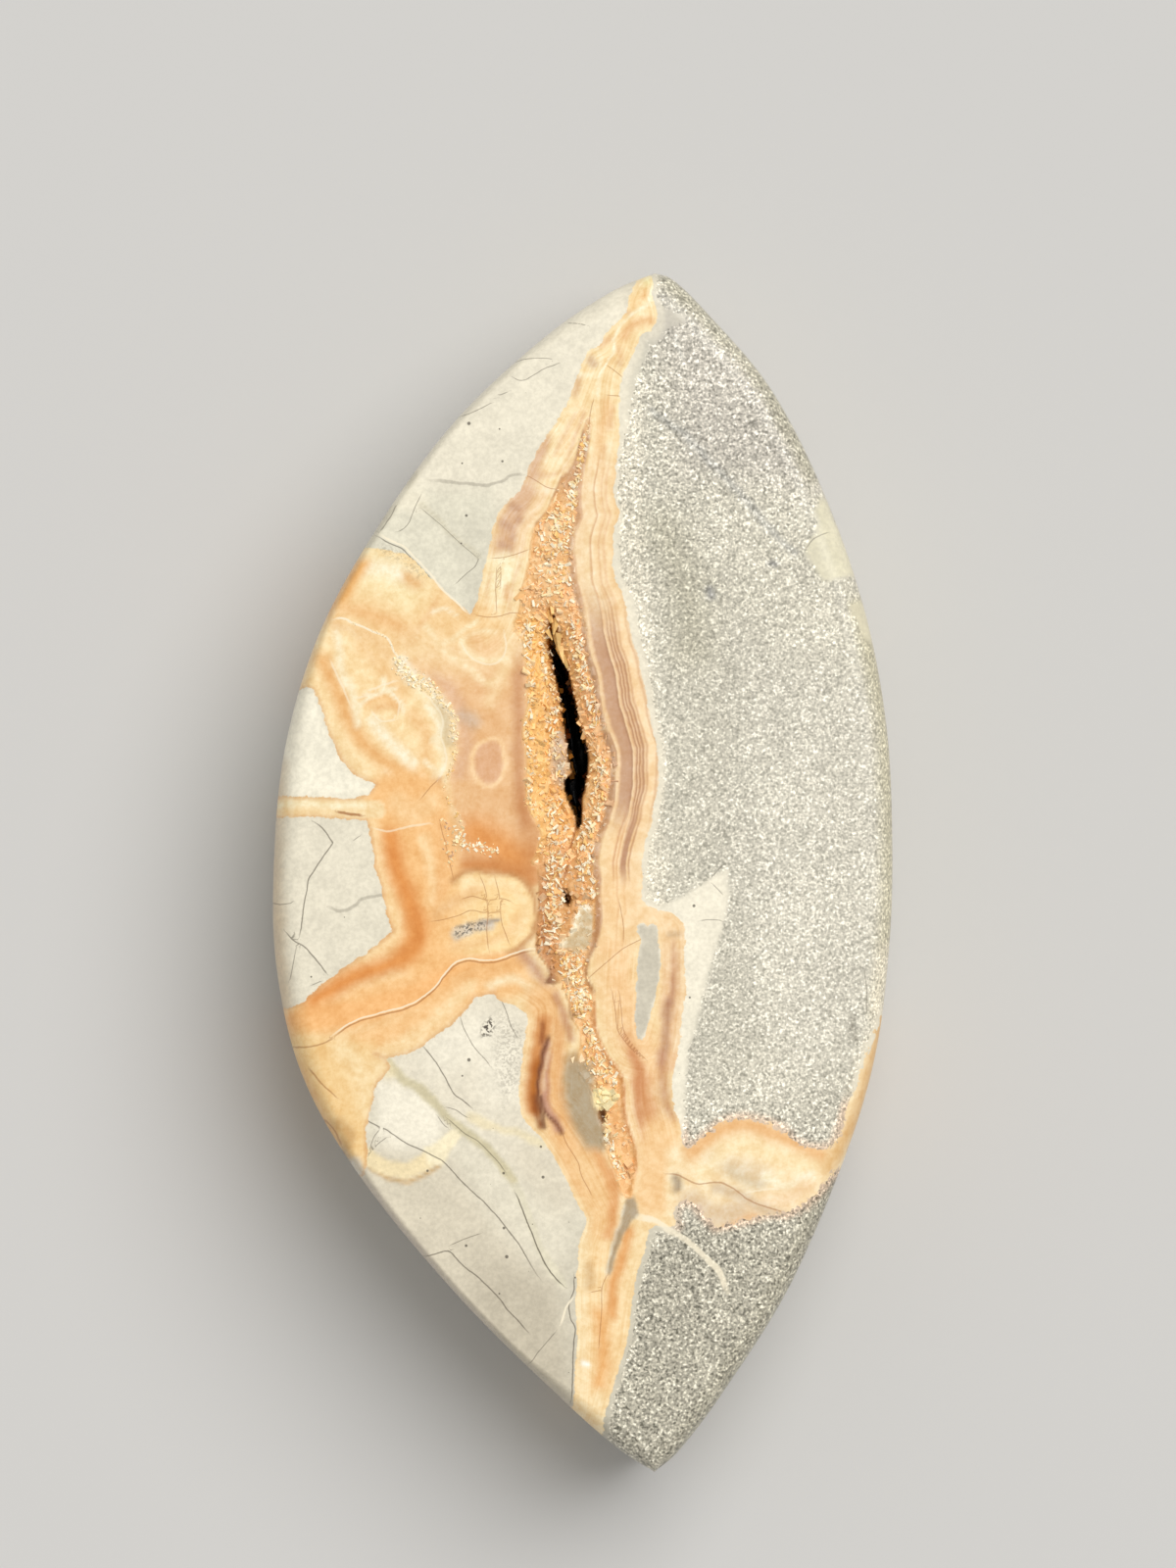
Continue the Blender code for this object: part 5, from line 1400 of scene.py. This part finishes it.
# Amber crystals on the left wall of the hole, and the amber blades that stand across its top
for number in np.flatnonzero((vug > 0.0) & (vug < 0.45) & (on_face > 0.9) & (sunk < 8.0)):
    left = spot_across[number] < middle_of_vug[number]
    lit = left and 69.0 < spot_down[number] < 79.0
    # Down the hole their colour is darkened as painted shade, less so on the lit stretch of the left wall
    shade = math.exp(-max(sunk[number] - (5.5 if lit else 2.6), 0.0) / 1.5)
    if dice.random() < 0.8:
        set_crystal(druse_mesh, skin[number], jitter(0.4, 0.9),
                    (AMBER_CRYSTAL if dice.random() < 0.6 else DARK_CRYSTAL) * (0.15 + 0.75 * shade))
for across, down, lean_across, lean_down, size in (
        (56.0, 62.6, 0.3, 1.0, 1.0), (56.7, 63.6, -0.2, 1.0, 1.2), (56.9, 65.2, 0.1, 1.0, 1.3),
        (57.2, 66.4, 0.25, 1.0, 1.3), (56.0, 64.6, 0.5, 1.0, 0.8), (57.6, 67.3, 0.3, 0.8, 1.0),
        (56.3, 61.8, 0.1, 1.0, 0.9)):
    root = (*to_metres((across, down)), THICKNESS - jitter(0.9, 1.4))
    grow_crystal(druse_mesh, root, (lean_across, -lean_down, 0.5), 1.5 * size * MM, 0.8 * size * MM,
                 HONEY_CRYSTAL * dice.uniform(0.75, 1.1))
finish_crystals(druse_mesh, "druse_crystals", calcite_crystal)

# The white crystal line
# A thin seam of tiny white crystals that edges the tan pool and thickens where it bends.
SEAM_STEPS = 6
seam_mesh = new_crystals()


def sow_crystals(route, spread, count, size, tints):
    """Scatter tiny crystals along a route on the face."""
    run = smooth_route(route, SEAM_STEPS)
    for _ in range(count):
        step = dice.randrange(len(run) - 1)
        point = run[step] + (run[step + 1] - run[step]) * dice.random()
        point = point + np.array((dice.gauss(0.0, spread), dice.gauss(0.0, spread)))
        across, up = to_metres(point)
        level = face_height(np.array(((across, up),)))[0]
        long = size * dice.uniform(0.6, 1.4) * MM
        if dice.random() < 0.5:
            root = (across, up, level + jitter(-0.1, 0.05))
            set_crystal(seam_mesh, root, long * 0.9, dice.choice(tints), 0.4)
            continue
        direction = (dice.gauss(0.0, 1.0), dice.gauss(0.0, 1.0), 1.0)
        grow_crystal(seam_mesh, (across, up, level - long * 0.5), direction, long, long * 0.5,
                     dice.choice(tints))


for route, spread, count, size, tints in (
        ([(40.7, 67.2), (41.3, 68.4), (42.1, 69.2), (43.3, 69.6), (44.2, 70.4)], 0.36, 380, 0.4,
         [WHITE_CRYSTAL, WHITE_CRYSTAL, CREAM_CRYSTAL]),
        ([(44.2, 70.4), (45.2, 71.6), (46.1, 72.7), (46.3, 74), (46.4, 75.4)], 0.24, 260, 0.34,
         [WHITE_CRYSTAL, CREAM_CRYSTAL, CREAM_CRYSTAL]),
        ([(46.4, 75.4), (46.5, 76.8), (46.2, 77.9), (45.8, 79.1), (45.4, 80.4), (45.8, 81.6), (46.6, 82.9),
          (47.2, 84)], 0.12, 170, 0.26, [CREAM_CRYSTAL, CREAM_CRYSTAL, HONEY_CRYSTAL]),
        ([(46.8, 84.4), (46.8, 85.4), (47.6, 86.6)], 0.32, 120, 0.38, [WHITE_CRYSTAL, CREAM_CRYSTAL]),
        ([(47.6, 86.6), (48.7, 86.3), (49.8, 86.7), (50.9, 86.7)], 0.26, 90, 0.36,
         [WHITE_CRYSTAL, WHITE_CRYSTAL, CREAM_CRYSTAL]),
        ([(35.6, 63.4), (38, 64.3), (39.3, 65), (40.2, 66.2), (40.7, 67.2)], 0.08, 70, 0.18,
         [CREAM_CRYSTAL, WHITE_CRYSTAL]),
        ([(45.4, 84), (45.8, 86), (46.2, 88)], 0.35, 90, 0.3, [CREAM_CRYSTAL, TAN_CRYSTAL])):
    sow_crystals(route, spread, count, size, tints)
finish_crystals(seam_mesh, "seam_crystals", calcite_crystal)

# The floor, the light and the camera
# A plain pale floor under a large soft light from the upper right, seen straight from above.
SHARP_HEIGHT = 0.0195
FRAME_WIDTH = 0.120
FRAME_MIDDLE = (0.0005, 0.00905)
CAMERA_DISTANCE = 1.2
SENSOR_WIDTH = 36.0
FLOOR_HALF_WIDTH = 0.6
FLOOR_COLOUR = (0.62, 0.61, 0.59, 1.0)
KEY_DIRECTION = (-0.45, -0.55, -1.0)
KEY_SPREAD = 0.9
KEY_STRENGTH = 2.3
SKY_COLOUR = (1.0, 0.99, 0.97, 1.0)
SKY_STRENGTH = 0.45

floor_mesh = bmesh.new()
bmesh.ops.create_grid(floor_mesh, x_segments=1, y_segments=1, size=FLOOR_HALF_WIDTH)
floor_data = bpy.data.meshes.new("floor")
floor_mesh.to_mesh(floor_data)
floor_mesh.free()
floor = put_in_scene("floor", floor_data)
floor_paint, tree, shader = new_material("pale_floor")
shader.inputs["Base Color"].default_value = FLOOR_COLOUR
shader.inputs["Roughness"].default_value = 0.9
floor_data.materials.append(floor_paint)

key_data = bpy.data.lights.new("key", 'SUN')
key_data.angle = KEY_SPREAD
key_data.energy = KEY_STRENGTH
key = put_in_scene("key", key_data)
key.rotation_euler = Vector(KEY_DIRECTION).to_track_quat('-Z', 'Y').to_euler()

world = bpy.data.worlds.new("studio")
world.use_nodes = True
sky = world.node_tree.nodes["Background"]
sky.inputs["Color"].default_value = SKY_COLOUR
sky.inputs["Strength"].default_value = SKY_STRENGTH
bpy.context.scene.world = world
bpy.context.scene.view_settings.view_transform = 'Standard'

camera_data = bpy.data.cameras.new("camera")
camera_data.sensor_fit = 'HORIZONTAL'
camera_data.sensor_width = SENSOR_WIDTH
camera_data.lens = SENSOR_WIDTH * CAMERA_DISTANCE / FRAME_WIDTH
camera_data.clip_start = 0.01
camera_data.clip_end = 5.0
camera = put_in_scene("camera", camera_data)
camera.location = (*FRAME_MIDDLE, SHARP_HEIGHT + CAMERA_DISTANCE)
bpy.context.scene.camera = camera
